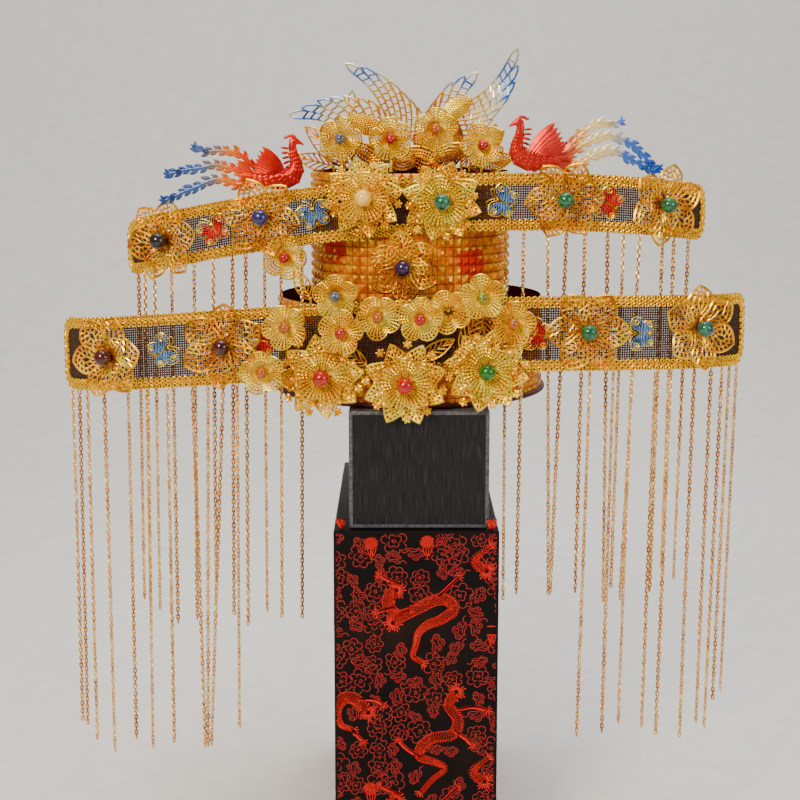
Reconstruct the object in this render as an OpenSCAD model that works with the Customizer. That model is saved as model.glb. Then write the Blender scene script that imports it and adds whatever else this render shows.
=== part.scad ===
// Phoenix crown of gilt filigree on a plain display stand.
// Lengths are in millimetres and +Z is up. The wearer's face looks along -Y.
// The origin is the middle of the column's foot.

/* [Stand] */
// Width of the brocade column
column_w = 122; // [105:1:160]
// How far the column reaches past the block, front and back
column_overhang = 7; // [2:0.5:30]
// Height of the column
column_h = 260; // [200:1:340]
// Width of the grained block on the column
block_w = 103; // [80:1:120]
// How far the block reaches past the cap's rim, front and back
block_overhang = 8.5; // [2:0.5:9.5]
// Height of the block
block_h = 88; // [60:1:120]
// How far the block sits to the right of the column's middle
block_shift = 2; // [-6:0.5:6]

/* [Cap] */
// Outside radius of the base band
rim_r = 102.5; // [96:0.5:112]
// Radius of the upper drum
drum_r = 76; // [68:0.5:84]
// Height of the base band, up to the shoulder
base_h = 74; // [64:1:78]
// Height of the whole cap
cap_h = 170; // [155:1:185]
// Wall of the cap
cap_wall = 2.5; // [1.5:0.1:4]
// Radius of the rolled edge round the rim
roll_r = 2; // [1.2:0.1:3]
// How far the cap's axis sits to the right of the column's middle
cap_shift = -4; // [-8:0.5:4]

/* [Bands] */
// Half of the upper band's width, seen from the front
upper_half_w = 220; // [205:1:235]
// Half of the lower band's width
lower_half_w = 258; // [242:1:272]
// Height of the upper band with its braid
upper_band_h = 43; // [38:1:48]
// Height of the lower band with its braid
lower_band_h = 56; // [50:1:62]
// Thickness of the net
net_t = 1.5; // [1:0.1:2.5]
// Width of the looped braid that frames each band
braid_w = 9.5; // [7:0.5:12]
// Thickness of the braid
braid_t = 4; // [3:0.1:5]
// Radius of each band's rounded corners
corner_r = 14; // [12.5:0.5:18]
// Height of the upper band's lower edge over the rim, where it is highest
upper_rise = 128; // [120:1:136]
// Height of the lower band's lower edge over the rim, where it is highest
lower_rise = 28; // [20:1:34]
// How much lower the upper band hangs at its left end
upper_drop_left = 38; // [20:1:46]
// How much lower the upper band hangs at its right end
upper_drop_right = 11; // [0:1:24]
// How much lower the lower band hangs at its left end
lower_drop_left = 22; // [8:1:30]
// How much lower the lower band hangs at its right end
lower_drop_right = 3; // [0:1:14]
// How far the upper band's ends curve back
upper_curl = 48; // [30:1:60]
// How far the lower band's ends curve back
lower_curl = 55; // [35:1:70]

/* [Fringes] */
// Length of the upper fringe's longest chains
upper_fringe = 285; // [200:1:300]
// Length of the lower fringe's longest chains
lower_fringe = 280; // [200:1:310]
// Width over a chain's links
chain_w = 4; // [3:0.1:5]
// Clearance between the column and the chain that hangs closest beside it
column_gap = 3; // [1:0.5:6]

/* [Flowers] */
// Radius of the rosettes on the lower band
rosette_r = 29; // [24:0.5:29.5]
// Radius of the six-petal flowers
flower_r = 29; // [22:0.5:30]
// Radius of the small blossoms
blossom_r = 16; // [12:0.5:16.5]
// Radius of the rosettes' and flowers' beads
bead_r = 6.2; // [5:0.1:7]
// Radius of the blossoms' beads
small_bead_r = 4.2; // [3:0.1:5]
// Thickness of the stamped filigree plates
plate_t = 1; // [0.8:0.1:1.4]
// How far the flowers' petals tilt forward, in degrees
petal_tilt = 18; // [8:1:26]

/* [Birds and wings] */
// Length of a phoenix, beak to tail root
bird_l = 33.5; // [26:0.5:38]
// Length of the longest tail plume
plume_l = 78; // [56:1:84]
// Length of the longest wing feather
feather_l = 75; // [60:1:80]
// Width of a wing feather
feather_w = 9; // [6:0.5:11]

/* [Hidden] */
UPPER = 0;
LOWER = 1;
seat = 0.3;
$fn = 48;
GOLD = [0.85, 0.62, 0.2];
PALE_GOLD = [0.93, 0.78, 0.36];
ROSE_GOLD = [0.78, 0.5, 0.3];

block_d = 2 * (rim_r + block_overhang);
column_d = block_d + 2 * column_overhang;
block_z = column_h + seat;
rim_z = block_z + block_h + seat;
cap_top = rim_z + cap_h;

// One value for each tier, upper then lower
half_w = [upper_half_w, lower_half_w];
band_h = [upper_band_h, lower_band_h];
band_shift = [0, -9];
rise = [upper_rise, lower_rise];
drop_left = [upper_drop_left, lower_drop_left];
drop_right = [upper_drop_right, lower_drop_right];
crest_share = [0.38, 0.6];
curl = [upper_curl, lower_curl];
curl_power = 6;
front = [drum_r + seat + braid_t / 2, rim_r + seat + braid_t / 2];
fringe = [upper_fringe, lower_fringe];
band_steps = 36;
corner_steps = 4;

// A band's shape: share runs from -1 at its left end to 1 at its right end
function drop(t, s) = s < crest_share[t]
    ? drop_left[t] * pow((s - crest_share[t]) / (1 + crest_share[t]), 2)
    : drop_right[t] * pow((s - crest_share[t]) / (1 - crest_share[t]), 2);
function edge_z(t, s) = rim_z + rise[t] - drop(t, s);
// Shares lie closer together towards the ends, which the curl draws in
end_draw = 0.047;
function reach(t, s) = s * half_w[t] * (1 + end_draw * (1 - pow(abs(s), 3)));
function reach_slope(t, s) = half_w[t] * (1 + end_draw * (1 - 4 * pow(abs(s), 3)));
function plan(t, s) = [band_shift[t] + reach(t, s),
                       curl[t] * pow(abs(s), curl_power) - front[t]];
function heading(t, s) =
    atan(sign(s) * curl_power * curl[t] * pow(abs(s), curl_power - 1) / reach_slope(t, s));
function outward(t, s) = [sin(heading(t, s)), -cos(heading(t, s))];
function on_band(t, s, up, out) =
    let (p = plan(t, s) + out * outward(t, s)) [p[0], p[1], edge_z(t, s) + up];
// Share that one millimetre along the band takes at its curved ends
function end_share(t) = cos(heading(t, 1)) / reach_slope(t, 1);

// The band's rounded outline, set in from its edge, as pairs of share and height
function outline(t, inset) =
    let (k = end_share(t), far = 1 - corner_r * k, r = corner_r - inset,
         top = band_h[t] - corner_r, low = corner_r)
    concat(
        [for (i = [0:band_steps]) [far * (2 * i / band_steps - 1), top + r]],
        [for (i = [1:corner_steps]) let (a = 90 * i / corner_steps)
            [far + r * sin(a) * k, top + r * cos(a)]],
        [for (i = [0:corner_steps - 1]) let (a = 90 * i / corner_steps)
            [far + r * cos(a) * k, low - r * sin(a)]],
        [for (i = [0:band_steps]) [far * (1 - 2 * i / band_steps), low - r]],
        [for (i = [1:corner_steps]) let (a = 90 * i / corner_steps)
            [-far - r * sin(a) * k, low - r * cos(a)]],
        [for (i = [0:corner_steps - 1]) let (a = 90 * i / corner_steps)
            [-far - r * cos(a) * k, top + r * sin(a)]]);

// A closed loop of four-sided rings, joined to each other
module ring_loop(rings) {
    n = len(rings);
    m = len(rings[0]);
    polyhedron(points = [for (ring = rings) each ring],
               faces = [for (i = [0:n - 1], j = [0:m - 1])
                   let (a = i * m, b = ((i + 1) % n) * m, k = (j + 1) % m)
                   each [[a + j, b + j, b + k], [a + j, b + k, a + k]]]);
}

// An open tube or wall of rings with its two ends closed
module ring_stack(rings) {
    n = len(rings);
    m = len(rings[0]);
    last = (n - 1) * m;
    polyhedron(points = [for (ring = rings) each ring],
               faces = concat(
                   [for (i = [0:n - 2], j = [0:m - 1])
                       let (a = i * m, b = a + m, k = (j + 1) % m)
                       each [[a + j, b + j, b + k], [a + j, b + k, a + k]]],
                   [[for (j = [0:m - 1]) j]],
                   [[for (j = [m - 1:-1:0]) last + j]]));
}

// Stands its children on a point, their +Z turned to the front and then by a heading
module facing(at, turn = 0) {
    translate(at) rotate([0, 0, turn]) rotate([90, 0, 0]) children();
}

module display_column() {
    color("maroon")
        translate([-column_w / 2, -column_d / 2, 0]) cube([column_w, column_d, column_h]);
}

module display_block() {
    color([0.12, 0.12, 0.13])
        translate([block_shift - block_w / 2, -block_d / 2, block_z])
            cube([block_w, block_d, block_h]);
}

// A wall turned round the cap's axis
module cap_wall_of(profile) {
    color(GOLD) translate([cap_shift, 0, rim_z]) rotate_extrude($fn = 96) polygon(profile);
}

// The base band with its shoulder, open below for the head
module cap_base() {
    w = cap_wall;
    cap_wall_of([[rim_r - w, 0], [rim_r, 0], [rim_r, base_h], [drum_r - w, base_h],
                 [drum_r - w, base_h - w], [rim_r - w, base_h - w]]);
}

// The drum stands on the shoulder and is closed at its top
module cap_drum() {
    w = cap_wall;
    foot = base_h + seat;
    cap_wall_of([[drum_r - w, foot], [drum_r, foot], [drum_r, cap_h], [0, cap_h],
                 [0, cap_h - w], [drum_r - w, cap_h - w]]);
}

module cap_rim() {
    color([0.35, 0.1, 0.06]) translate([cap_shift, 0, rim_z + roll_r])
        rotate_extrude($fn = 96) translate([rim_r + seat + roll_r, 0]) circle(roll_r, $fn = 24);
}

// The net fills the frame of braid, a seat's width clear of it
module band_net(t) {
    inset = braid_w + seat;
    r = corner_r - inset;
    k = end_share(t);
    tip = 1 - inset * k;
    half = band_steps / 2;
    shares = concat([-tip, -tip + 0.3 * r * k],
                    [for (i = [-half:half]) (tip - r * k) * i / half],
                    [tip - 0.3 * r * k, tip]);
    color([0.35, 0.25, 0.15]) ring_stack([for (s = shares)
        let (d = (tip - abs(s)) / k,
             cut = d < r ? r - sqrt(max(0, r * r - (r - d) * (r - d))) : 0,
             low = inset + cut * 0.9, high = band_h[t] - inset - cut * 0.9)
        [on_band(t, s, low, -net_t / 2), on_band(t, s, high, -net_t / 2),
         on_band(t, s, high, net_t / 2), on_band(t, s, low, net_t / 2)]]);
}

module band_braid(t) {
    outer = outline(t, 0);
    inner = outline(t, braid_w);
    color(PALE_GOLD) ring_loop([for (i = [0:len(outer) - 1])
        let (a = outer[i], b = inner[i])
        [on_band(t, a[0], a[1], -braid_t / 2), on_band(t, a[0], a[1], braid_t / 2),
         on_band(t, b[0], b[1], braid_t / 2), on_band(t, b[0], b[1], -braid_t / 2)]]);
}

// Columns: share along the band, foot's drift right, foot's drift forward, share of length
SHARE = 0;
DRIFT = 1;
FORWARD = 2;
LENGTH = 3;
CHAINS_UPPER_LEFT = [
    [-0.952, -3, 0, 0.90], [-0.922, -3, 1, 0.91], [-0.880, -3, 0, 0.93],
    [-0.812, -2, 0, 0.97], [-0.727, -4, 0, 0.965], [-0.660, -3, 0, 0.92],
    [-0.594, -4, 0, 0.965], [-0.550, -3, 0, 1.0], [-0.488, -2, 0, 0.97],
    [-0.434, -3, 0, 0.99], [-0.366, -3, 0, 1.0]];
CHAINS_UPPER_RIGHT = [
    [(column_w / 2 + column_gap + chain_w / 2) / upper_half_w / (1 + end_draw), 0, 14, 0.97],
    [0.344, -2, 0, 0.97], [0.420, 5, 3, 0.97],
    [0.482, -7, -3, 0.97], [0.543, -2, 0, 0.965], [0.618, 3, 0, 0.99],
    [0.673, -3, 0, 0.95], [0.730, -8, 3, 0.98], [0.816, -2, 0, 0.96],
    [0.862, -2, 0, 0.895], [0.925, -3, 0, 0.93]];
CHAINS_LOWER_LEFT = [
    [-0.972, -2, 0, 0.95], [-0.943, -3, 1, 0.95], [-0.911, -2, 0, 0.99],
    [-0.849, -1, 0, 1.015], [-0.769, -2, 0, 0.97], [-0.708, -4, 0, 0.995],
    [-0.650, -2, 0, 0.98], [-0.578, 4, 5, 0.99], [-0.534, -6, 0, 0.995],
    [-0.492, -15, -5, 1.0], [-0.453, -3, 0, 0.945]];
CHAINS_LOWER_RIGHT = [
    [0.505, -4, 0, 1.005], [0.570, -2, 0, 0.995], [0.622, -3, 0, 0.97],
    [0.693, -3, 0, 0.985], [0.739, -3, 0, 1.01], [0.814, -2, 0, 1.025],
    [0.872, -2, 0, 0.995], [0.914, -4, 1, 1.015], [0.943, -3, -1, 0.945],
    [0.975, -3, 0, 0.93]];
// How far the rounded corner lifts the band's lower edge, at a share near its end
function corner_lift(t, s) =
    let (d = min((1 - abs(s)) / end_share(t), corner_r), e = corner_r - d)
    corner_r - sqrt(corner_r * corner_r - e * e);
// How steeply the band's lower edge runs at a share
function edge_slope(t, s) =
    let (h = 0.005, rises = edge_z(t, s + h) + corner_lift(t, s + h)
                            - edge_z(t, s - h) - corner_lift(t, s - h))
    abs(rises) * cos(heading(t, s)) / (2 * h * reach_slope(t, s));
chain_sides = 8;

// A chain's top hangs a seat's width below the braid, clear of the edge's slope
module chain_tube(t, row) {
    s = row[SHARE];
    tuck = seat + chain_w / 2 * edge_slope(t, s);
    top = on_band(t, s, corner_lift(t, s) - tuck, 0);
    foot = top + [row[DRIFT], -row[FORWARD], -fringe[t] * row[LENGTH]];
    ring_stack([for (p = [top, foot]) [for (j = [0:chain_sides - 1])
        let (a = 360 * (j + 0.5) / chain_sides) p + chain_w / 2 * [sin(a), cos(a), 0]]]);
}

module fringe_chains(t, table) {
    color(ROSE_GOLD) for (row = table) chain_tube(t, row);
}

// A pointed oval from the origin along +X
module leaf_shape(l, w) {
    r = (l * l + w * w) / (4 * w);
    intersection() {
        translate([l / 2, r - w / 2]) circle(r, $fn = 96);
        translate([l / 2, w / 2 - r]) circle(r, $fn = 96);
    }
}

// A petal of plate with one leaf-shaped gap
module pierced_leaf(l, w, t = plate_t) {
    linear_extrude(t) difference() {
        leaf_shape(l, w);
        translate([l * 0.42, 0]) leaf_shape(l * 0.44, w * 0.42);
    }
}

// A pin from the carrying surface into a flower's back
module pin(reach, r = 1.4, into = plate_t / 2) {
    translate([0, 0, -reach]) cylinder(h = reach + into, r = r, $fn = 24);
}

// Columns: name, tier, share along the band, height over its lower edge, size, turn
NAME = 0;
TIER = 1;
PLACE = 2;
UP = 3;
SIZE = 4;
TURN = 5;
FLOWERS = [
    ["flower_upper_left_outer", UPPER, -0.817, 21.5, 0.93, 12],
    ["flower_upper_left_inner", UPPER, -0.493, 26, 0.93, 24],
    ["flower_upper_right_inner", UPPER, 0.468, 23.5, 0.93, 4],
    ["flower_upper_right_outer", UPPER, 0.794, 24, 0.93, 20],
    ["flower_lower_left_outer", LOWER, -0.81, 27, 1.0, 10],
    ["flower_lower_left_inner", LOWER, -0.487, 30, 1.0, 26],
    ["flower_lower_right_inner", LOWER, 0.492, 30.5, 1.0, 6],
    ["flower_lower_right_outer", LOWER, 0.806, 32, 1.0, 14]];
// Columns as above, then the carrying surface: braid or cap
SEAT = 6;
ROSETTES = [
    ["rosette_upper_left", UPPER, -0.168, 31, 0.96, 10, "net"],
    ["rosette_upper_right", UPPER, 0.08, 24, 0.96, 30, "net"],
    ["rosette_lower_left", LOWER, -0.221, 4, 1.0, 8, "braid"],
    ["rosette_lower_middle", LOWER, 0.002, -4, 1.0, 20, "cap"],
    ["rosette_lower_right", LOWER, 0.22, 4, 1.0, 34, "braid"]];
flower_out = 6;
rosette_out = [7, 10];
// Distance of a carrying surface in front of the band's middle
function seat_face(kind) = kind == "cap" ? -(braid_t / 2 + seat)
    : kind == "braid" ? braid_t / 2 : net_t / 2;
// The middle of a rosette's seat on the upper net or braid at its own height
function flower_seat(t, up) =
    up > braid_w + 2 && up < band_h[t] - braid_w - 2 ? seat_face("net") : seat_face("braid");

// A hub stands high enough for the tilted petals to leave it through its side
petal_lift = 0.3;
function hub_h(root) = 2 * petal_lift + root * tan(petal_tilt) + plate_t / cos(petal_tilt);

module six_petals(r) {
    cylinder(h = hub_h(0.1 * r), r = 0.3 * r);
    for (i = [0:5]) rotate([0, 0, 60 * i]) translate([0.2 * r, 0, petal_lift])
        rotate([0, -petal_tilt, 0]) pierced_leaf(0.8 * r / cos(petal_tilt), 0.52 * r);
}

module flower(row) {
    t = row[TIER];
    r = flower_r * row[SIZE];
    color(GOLD) facing(on_band(t, row[PLACE], row[UP], flower_out), heading(t, row[PLACE])) {
        pin(flower_out - flower_seat(t, row[UP]) - seat);
        rotate([0, 0, row[TURN]]) six_petals(r);
    }
}

// A bead sits a seat's width over the plate at a flower's middle
module bead_at(at, turn, r, lift = plate_t) {
    facing(at, turn) translate([0, 0, lift + seat + r]) sphere(r);
}

module flower_bead(row) {
    t = row[TIER];
    color("darkslategray")
        bead_at(on_band(t, row[PLACE], row[UP], flower_out), heading(t, row[PLACE]), bead_r,
                hub_h(0.1 * flower_r * row[SIZE]));
}

layer_gap = 2.4;
module rosette_plates(r) {
    cylinder(h = layer_gap + hub_h(0.08 * r), r = 0.28 * r);
    linear_extrude(plate_t) {
        circle(0.32 * r);
        for (i = [0:7]) rotate(45 * i) translate([0.04 * r, 0]) leaf_shape(0.96 * r, 0.6 * r);
    }
    for (i = [0:7]) rotate([0, 0, 45 * i]) translate([0.2 * r, 0, layer_gap + petal_lift])
        rotate([0, -petal_tilt, 0]) pierced_leaf(0.5 * r, 0.29 * r);
}

module rosette(row) {
    t = row[TIER];
    out = rosette_out[t];
    color(GOLD) facing(on_band(t, row[PLACE], row[UP], out), heading(t, row[PLACE])) {
        pin(out - seat_face(row[SEAT]) - seat);
        rotate([0, 0, row[TURN]]) rosette_plates(rosette_r * row[SIZE]);
    }
}

module rosette_bead(row) {
    t = row[TIER];
    color("crimson") bead_at(on_band(t, row[PLACE], row[UP], rosette_out[t]),
                             heading(t, row[PLACE]), bead_r,
                             layer_gap + hub_h(0.08 * rosette_r * row[SIZE]));
}

// The flower in the middle of the drum stands on the drum's own wall
drum_flower_x = cap_shift - 6;
drum_flower_size = 0.93;
drum_flower_up = base_h + 1.5 + drum_flower_size * flower_r;
drum_flower_out = 12;
drum_flower_y = -sqrt(drum_r * drum_r - pow(drum_flower_x - cap_shift, 2));
drum_flower_at = [drum_flower_x, drum_flower_y - drum_flower_out, rim_z + drum_flower_up];

module flower_drum_middle() {
    color(GOLD) facing(drum_flower_at) {
        pin(drum_flower_out - seat);
        rotate([0, 0, 18]) six_petals(flower_r * drum_flower_size);
    }
}

module bead_drum_middle() {
    color("indigo") bead_at(drum_flower_at, 0, bead_r,
                            hub_h(0.1 * flower_r * drum_flower_size));
}

// Columns: tier, share, height over the band's lower edge, distance out, pin's height
// from the blossom's middle, turn, bead colour
B_TIER = 0;
B_PLACE = 1;
B_UP = 2;
B_OUT = 3;
B_PIN = 4;
B_TURN = 5;
B_BEAD = 6;
BLOSSOMS_LEFT = [
    [UPPER, -0.42, -6, 4.5, 10, 0, "red"], [LOWER, -0.183, 62, 13, -9, 20, "grey"],
    [LOWER, -0.317, 41.5, 13, 0, 40, "orange"], [LOWER, -0.168, 36, 18.5, 0, 10, "red"],
    [LOWER, -0.378, 11, 18.5, 0, 30, "orange"], [LOWER, -0.07, 45.5, 13, 0, 50, "orange"]];
BLOSSOMS_RIGHT = [
    [LOWER, 0.042, 43.5, 18.5, 0, 15, "red"], [LOWER, 0.117, 48, 13, 0, 45, "none"],
    [LOWER, 0.205, 58, 18.5, -8, 25, "green"], [LOWER, 0.289, 38, 13, 0, 5, "orange"]];
// Columns: distance right of the cap's axis, height over the cap's top, turn, bead colour
T_X = 0;
T_UP = 1;
T_TURN = 2;
T_BEAD = 3;
TOP_LEFT = [[-52, 25, 0, "grey"], [-15, 25, 30, "red"]];
TOP_RIGHT = [[18, 32, 15, "orange"], [53, 20, 40, "red"]];
top_stem_y = -46;
top_reach = 16;
blossom_tilt = 12;

module five_petals(r) {
    cylinder(h = plate_t, r = 0.3 * r);
    for (i = [0:4]) rotate([0, 0, 72 * i]) rotate([0, -blossom_tilt, 0])
        translate([0.58 * r, 0, 0]) cylinder(h = plate_t, r = 0.41 * r);
}

function blossom_at(row) = on_band(row[B_TIER], row[B_PLACE], row[B_UP], row[B_OUT]);

module blossom(row) {
    t = row[B_TIER];
    carrier = flower_seat(t, row[B_UP] + row[B_PIN]);
    facing(blossom_at(row), heading(t, row[B_PLACE])) {
        translate([0, row[B_PIN], 0])
            pin(row[B_OUT] - carrier - seat, 1.2, plate_t / 2 + abs(row[B_PIN]) * sin(blossom_tilt));
        rotate([0, 0, row[B_TURN]]) five_petals(blossom_r);
    }
}

function top_at(row) = [cap_shift + row[T_X], top_stem_y - top_reach, cap_top + row[T_UP]];

// A blossom over the cap has a wire up from the cap's top and a bend to the front
module top_blossom(row) {
    at = top_at(row);
    translate([at[0], top_stem_y, cap_top + seat])
        cylinder(h = row[T_UP] - seat + 1, r = 1.2, $fn = 24);
    facing(at) {
        pin(top_reach, 1.2);
        rotate([0, 0, row[T_TURN]]) five_petals(blossom_r * 0.97);
    }
}

module blossoms_front(table) { color(PALE_GOLD) for (row = table) blossom(row); }
module blossoms_top(table) { color(PALE_GOLD) for (row = table) top_blossom(row); }

module blossom_beads(colour) {
    color(colour) {
        for (row = concat(BLOSSOMS_LEFT, BLOSSOMS_RIGHT)) if (row[B_BEAD] == colour)
            bead_at(blossom_at(row), heading(row[B_TIER], row[B_PLACE]), small_bead_r);
        for (row = concat(TOP_LEFT, TOP_RIGHT)) if (row[T_BEAD] == colour)
            bead_at(top_at(row), 0, small_bead_r);
    }
}

// Columns: tier, share, height over the band's lower edge, turn
BLUE_BUTTERFLIES = [[UPPER, -0.323, 21.5, 20], [LOWER, -0.66, 28, -60],
                    [UPPER, 0.279, 21.5, 70], [LOWER, 0.648, 28, 90]];
RED_BUTTERFLIES = [[UPPER, -0.65, 21.5, 30], [LOWER, -0.378, 31, 80],
                   [UPPER, 0.619, 21.5, 60], [LOWER, 0.36, 28, 75]];
butterfly_r = 11.5;
butterfly_t = 0.8;

module butterfly_shape(r) {
    for (side = [-1, 1], tilt = [35, -40]) rotate([0, 0, side < 0 ? 180 - tilt : tilt])
        leaf_shape(tilt > 0 ? r : 0.8 * r, 0.55 * r);
    rotate([0, 0, -90]) translate([-0.6 * r, 0]) leaf_shape(1.2 * r, 0.3 * r);
}

module butterflies(table) {
    for (row = table)
        facing(on_band(row[0], row[1], row[2], net_t / 2 + seat), heading(row[0], row[1]))
            rotate([0, 0, row[3]]) linear_extrude(butterfly_t) butterfly_shape(butterfly_r);
}

// A standing blade from the origin, its point at an angle over +X
module blade(l, w, angle, t = plate_t, gap = false) {
    rotate([0, -angle, 0]) translate([0, t / 2, 0]) rotate([90, 0, 0])
        if (gap) pierced_leaf(l, w, t); else linear_extrude(t) leaf_shape(l, w);
}

// A phoenix on the upper band's top edge, its head to the right of the page
module phoenix(plumes) {
    b = bird_l;
    slim = 0.7;
    translate([0, 0, seat]) cylinder(h = 0.15 * b, r = 1.6, $fn = 24);
    translate([0, 0, 0.26 * b]) {
        scale([1, slim, 1]) {
            hull() {
                sphere(0.22 * b, $fn = 16);
                translate([0.32 * b, 0, 0.06 * b]) sphere(0.19 * b, $fn = 16);
                translate([-0.52 * b, 0, 0.03 * b]) sphere(0.1 * b, $fn = 16);
            }
            hull() {
                translate([0.33 * b, 0, 0.12 * b]) sphere(0.16 * b, $fn = 16);
                translate([0.31 * b, 0, 0.72 * b]) sphere(0.09 * b, $fn = 16);
            }
        }
        translate([0.33 * b, 0, 0.78 * b]) sphere(0.1 * b, $fn = 32);
        translate([0.38 * b, 0, 0.79 * b]) rotate([0, 100, 0])
            cylinder(h = 0.18 * b, r1 = 0.055 * b, r2 = 0.015 * b, $fn = 24);
        translate([0.3 * b, 0, 0.83 * b]) blade(0.16 * b, 0.1 * b, 125);
        translate([-0.02 * b, 0, 0.08 * b]) {
            blade(0.88 * b, 0.34 * b, 115);
            blade(0.7 * b, 0.3 * b, 135);
        }
        translate([-0.5 * b, 0, 0.04 * b])
            for (p = plumes) blade(plume_l * p[0], plume_l * 0.11, p[1]);
    }
}

// Columns: share of the longest plume, angle over the tail's own line
LEFT_PLUMES = [[0.98, 191], [0.9, 177], [0.66, 155]];
RIGHT_PLUMES = [[0.98, 188], [0.9, 178], [0.76, 150], [0.34, 118]];
left_phoenix_share = -0.44;
right_phoenix_share = 0.375;
function perch(s) = on_band(UPPER, s, upper_band_h + seat, 0);

module left_phoenix() {
    color("orangered") translate(perch(left_phoenix_share)) phoenix(LEFT_PLUMES);
}

module right_phoenix() {
    color([0.85, 0.35, 0.35]) translate(perch(right_phoenix_share))
        mirror([1, 0, 0]) phoenix(RIGHT_PLUMES);
}

// Columns: name, shoulder right of the cap's axis, behind its axis, over its top, first
// and last feather's angle, first and last feather's share of the longest, how many
W_X = 1;
W_Y = 2;
W_UP = 3;
W_ANGLE = 4;
W_LENGTH = 5;
W_COUNT = 6;
WINGS = [
    ["wing_low_left", -30, -34, 36, [174, 122], [0.82, 0.36], 4],
    ["wing_high_left", -11, -27, 44, [137, 70], [0.7, 0.26], 5],
    ["wing_small_right", 22, -27, 43, [49, 112], [0.58, 0.2], 4],
    ["wing_large_right", 33, -34, 44, [44, -22], [0.9, 0.38], 6]];

module wing(row) {
    n = row[W_COUNT] - 1;
    color(GOLD) translate([cap_shift + row[W_X], row[W_Y], cap_top]) {
        translate([0, 0, seat]) cylinder(h = row[W_UP], r = 1.4, $fn = 24);
        translate([0, 0, row[W_UP]]) for (i = [0:n]) let (k = i / n)
            blade(feather_l * (row[W_LENGTH][0] * (1 - k) + row[W_LENGTH][1] * k), feather_w,
                  row[W_ANGLE][0] * (1 - k) + row[W_ANGLE][1] * k, plate_t, true);
    }
}

// Columns: foot right of the cap's axis, behind its axis, angle, length, width
TOP_LEAVES_LEFT = [[-44, -38, 140, 46, 17], [-26, -38, 60, 30, 13]];
TOP_LEAVES_RIGHT = [[20, -38, 125, 30, 13], [38, -38, 40, 42, 16]];
leaf_stem = 4;

module top_leaves(table) {
    for (row = table) translate([cap_shift + row[0], row[1], cap_top + seat]) {
        cylinder(h = leaf_stem + 2, r = 1.2, $fn = 24);
        translate([0, 0, leaf_stem]) blade(row[3], row[4], row[2], plate_t);
    }
}

// The small leaf on the lower band's top edge
small_leaf_share = -0.25;
module left_leaves() {
    color(PALE_GOLD) {
        top_leaves(TOP_LEAVES_LEFT);
        translate(on_band(LOWER, small_leaf_share, lower_band_h + seat, 0)) {
            cylinder(h = leaf_stem, r = 1.2, $fn = 24);
            translate([0, 0, leaf_stem - 1]) blade(22, 9, 118, plate_t);
        }
    }
}

// Columns: share along the lower band, height over its edge, angle, length, width
FRONT_LEAVES = [[0.15, 20, 60, 34, 12], [0.24, 22, 100, 30, 11]];
front_leaf_out = 4;
module right_leaves() {
    color(PALE_GOLD) {
        top_leaves(TOP_LEAVES_RIGHT);
        for (row = FRONT_LEAVES)
            facing(on_band(LOWER, row[0], row[1], front_leaf_out)) {
                pin(front_leaf_out - seat_face("net") - seat, 1.2);
                rotate([0, 0, row[2]]) linear_extrude(plate_t)
                    translate([-2, 0]) leaf_shape(row[3], row[4]);
            }
    }
}

function bead_name(row) = str("bead_", row[NAME]);

display_column();
display_block();
cap_base();
cap_drum();
cap_rim();
band_net(UPPER);  // upper_band
band_net(LOWER);  // lower_band
band_braid(UPPER);  // upper_braid
band_braid(LOWER);  // lower_braid
fringe_chains(UPPER, CHAINS_UPPER_LEFT);  // chains_upper_left
fringe_chains(UPPER, CHAINS_UPPER_RIGHT);  // chains_upper_right
fringe_chains(LOWER, CHAINS_LOWER_LEFT);  // chains_lower_left
fringe_chains(LOWER, CHAINS_LOWER_RIGHT);  // chains_lower_right
for (row = FLOWERS) flower(row);
for (row = FLOWERS) flower_bead(row);
for (row = ROSETTES) rosette(row);
for (row = ROSETTES) rosette_bead(row);
flower_drum_middle();
bead_drum_middle();
blossoms_front(BLOSSOMS_LEFT);  // blossoms_front_left
blossoms_front(BLOSSOMS_RIGHT);  // blossoms_front_right
blossoms_top(TOP_LEFT);  // blossoms_top_left
blossoms_top(TOP_RIGHT);  // blossoms_top_right
blossom_beads("red");  // blossom_beads_red
blossom_beads("orange");  // blossom_beads_orange
blossom_beads("green");  // blossom_beads_green
blossom_beads("grey");  // blossom_beads_grey
color("royalblue") butterflies(BLUE_BUTTERFLIES);  // blue_butterflies
color("red") butterflies(RED_BUTTERFLIES);  // red_butterflies
left_phoenix();
right_phoenix();
for (row = WINGS) wing(row);
left_leaves();
right_leaves();
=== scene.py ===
"""Phoenix crown of gilt filigree on its display stand: the looks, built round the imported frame.

Shapes are worked out in millimetres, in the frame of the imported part, and each finished
piece is turned to metres once, in its mesh.
"""
import random
from math import atan2, copysign, cos, degrees, pi, radians, sin, sqrt

import bmesh
import bpy
import numpy as np
from mathutils import Matrix, Vector


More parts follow.
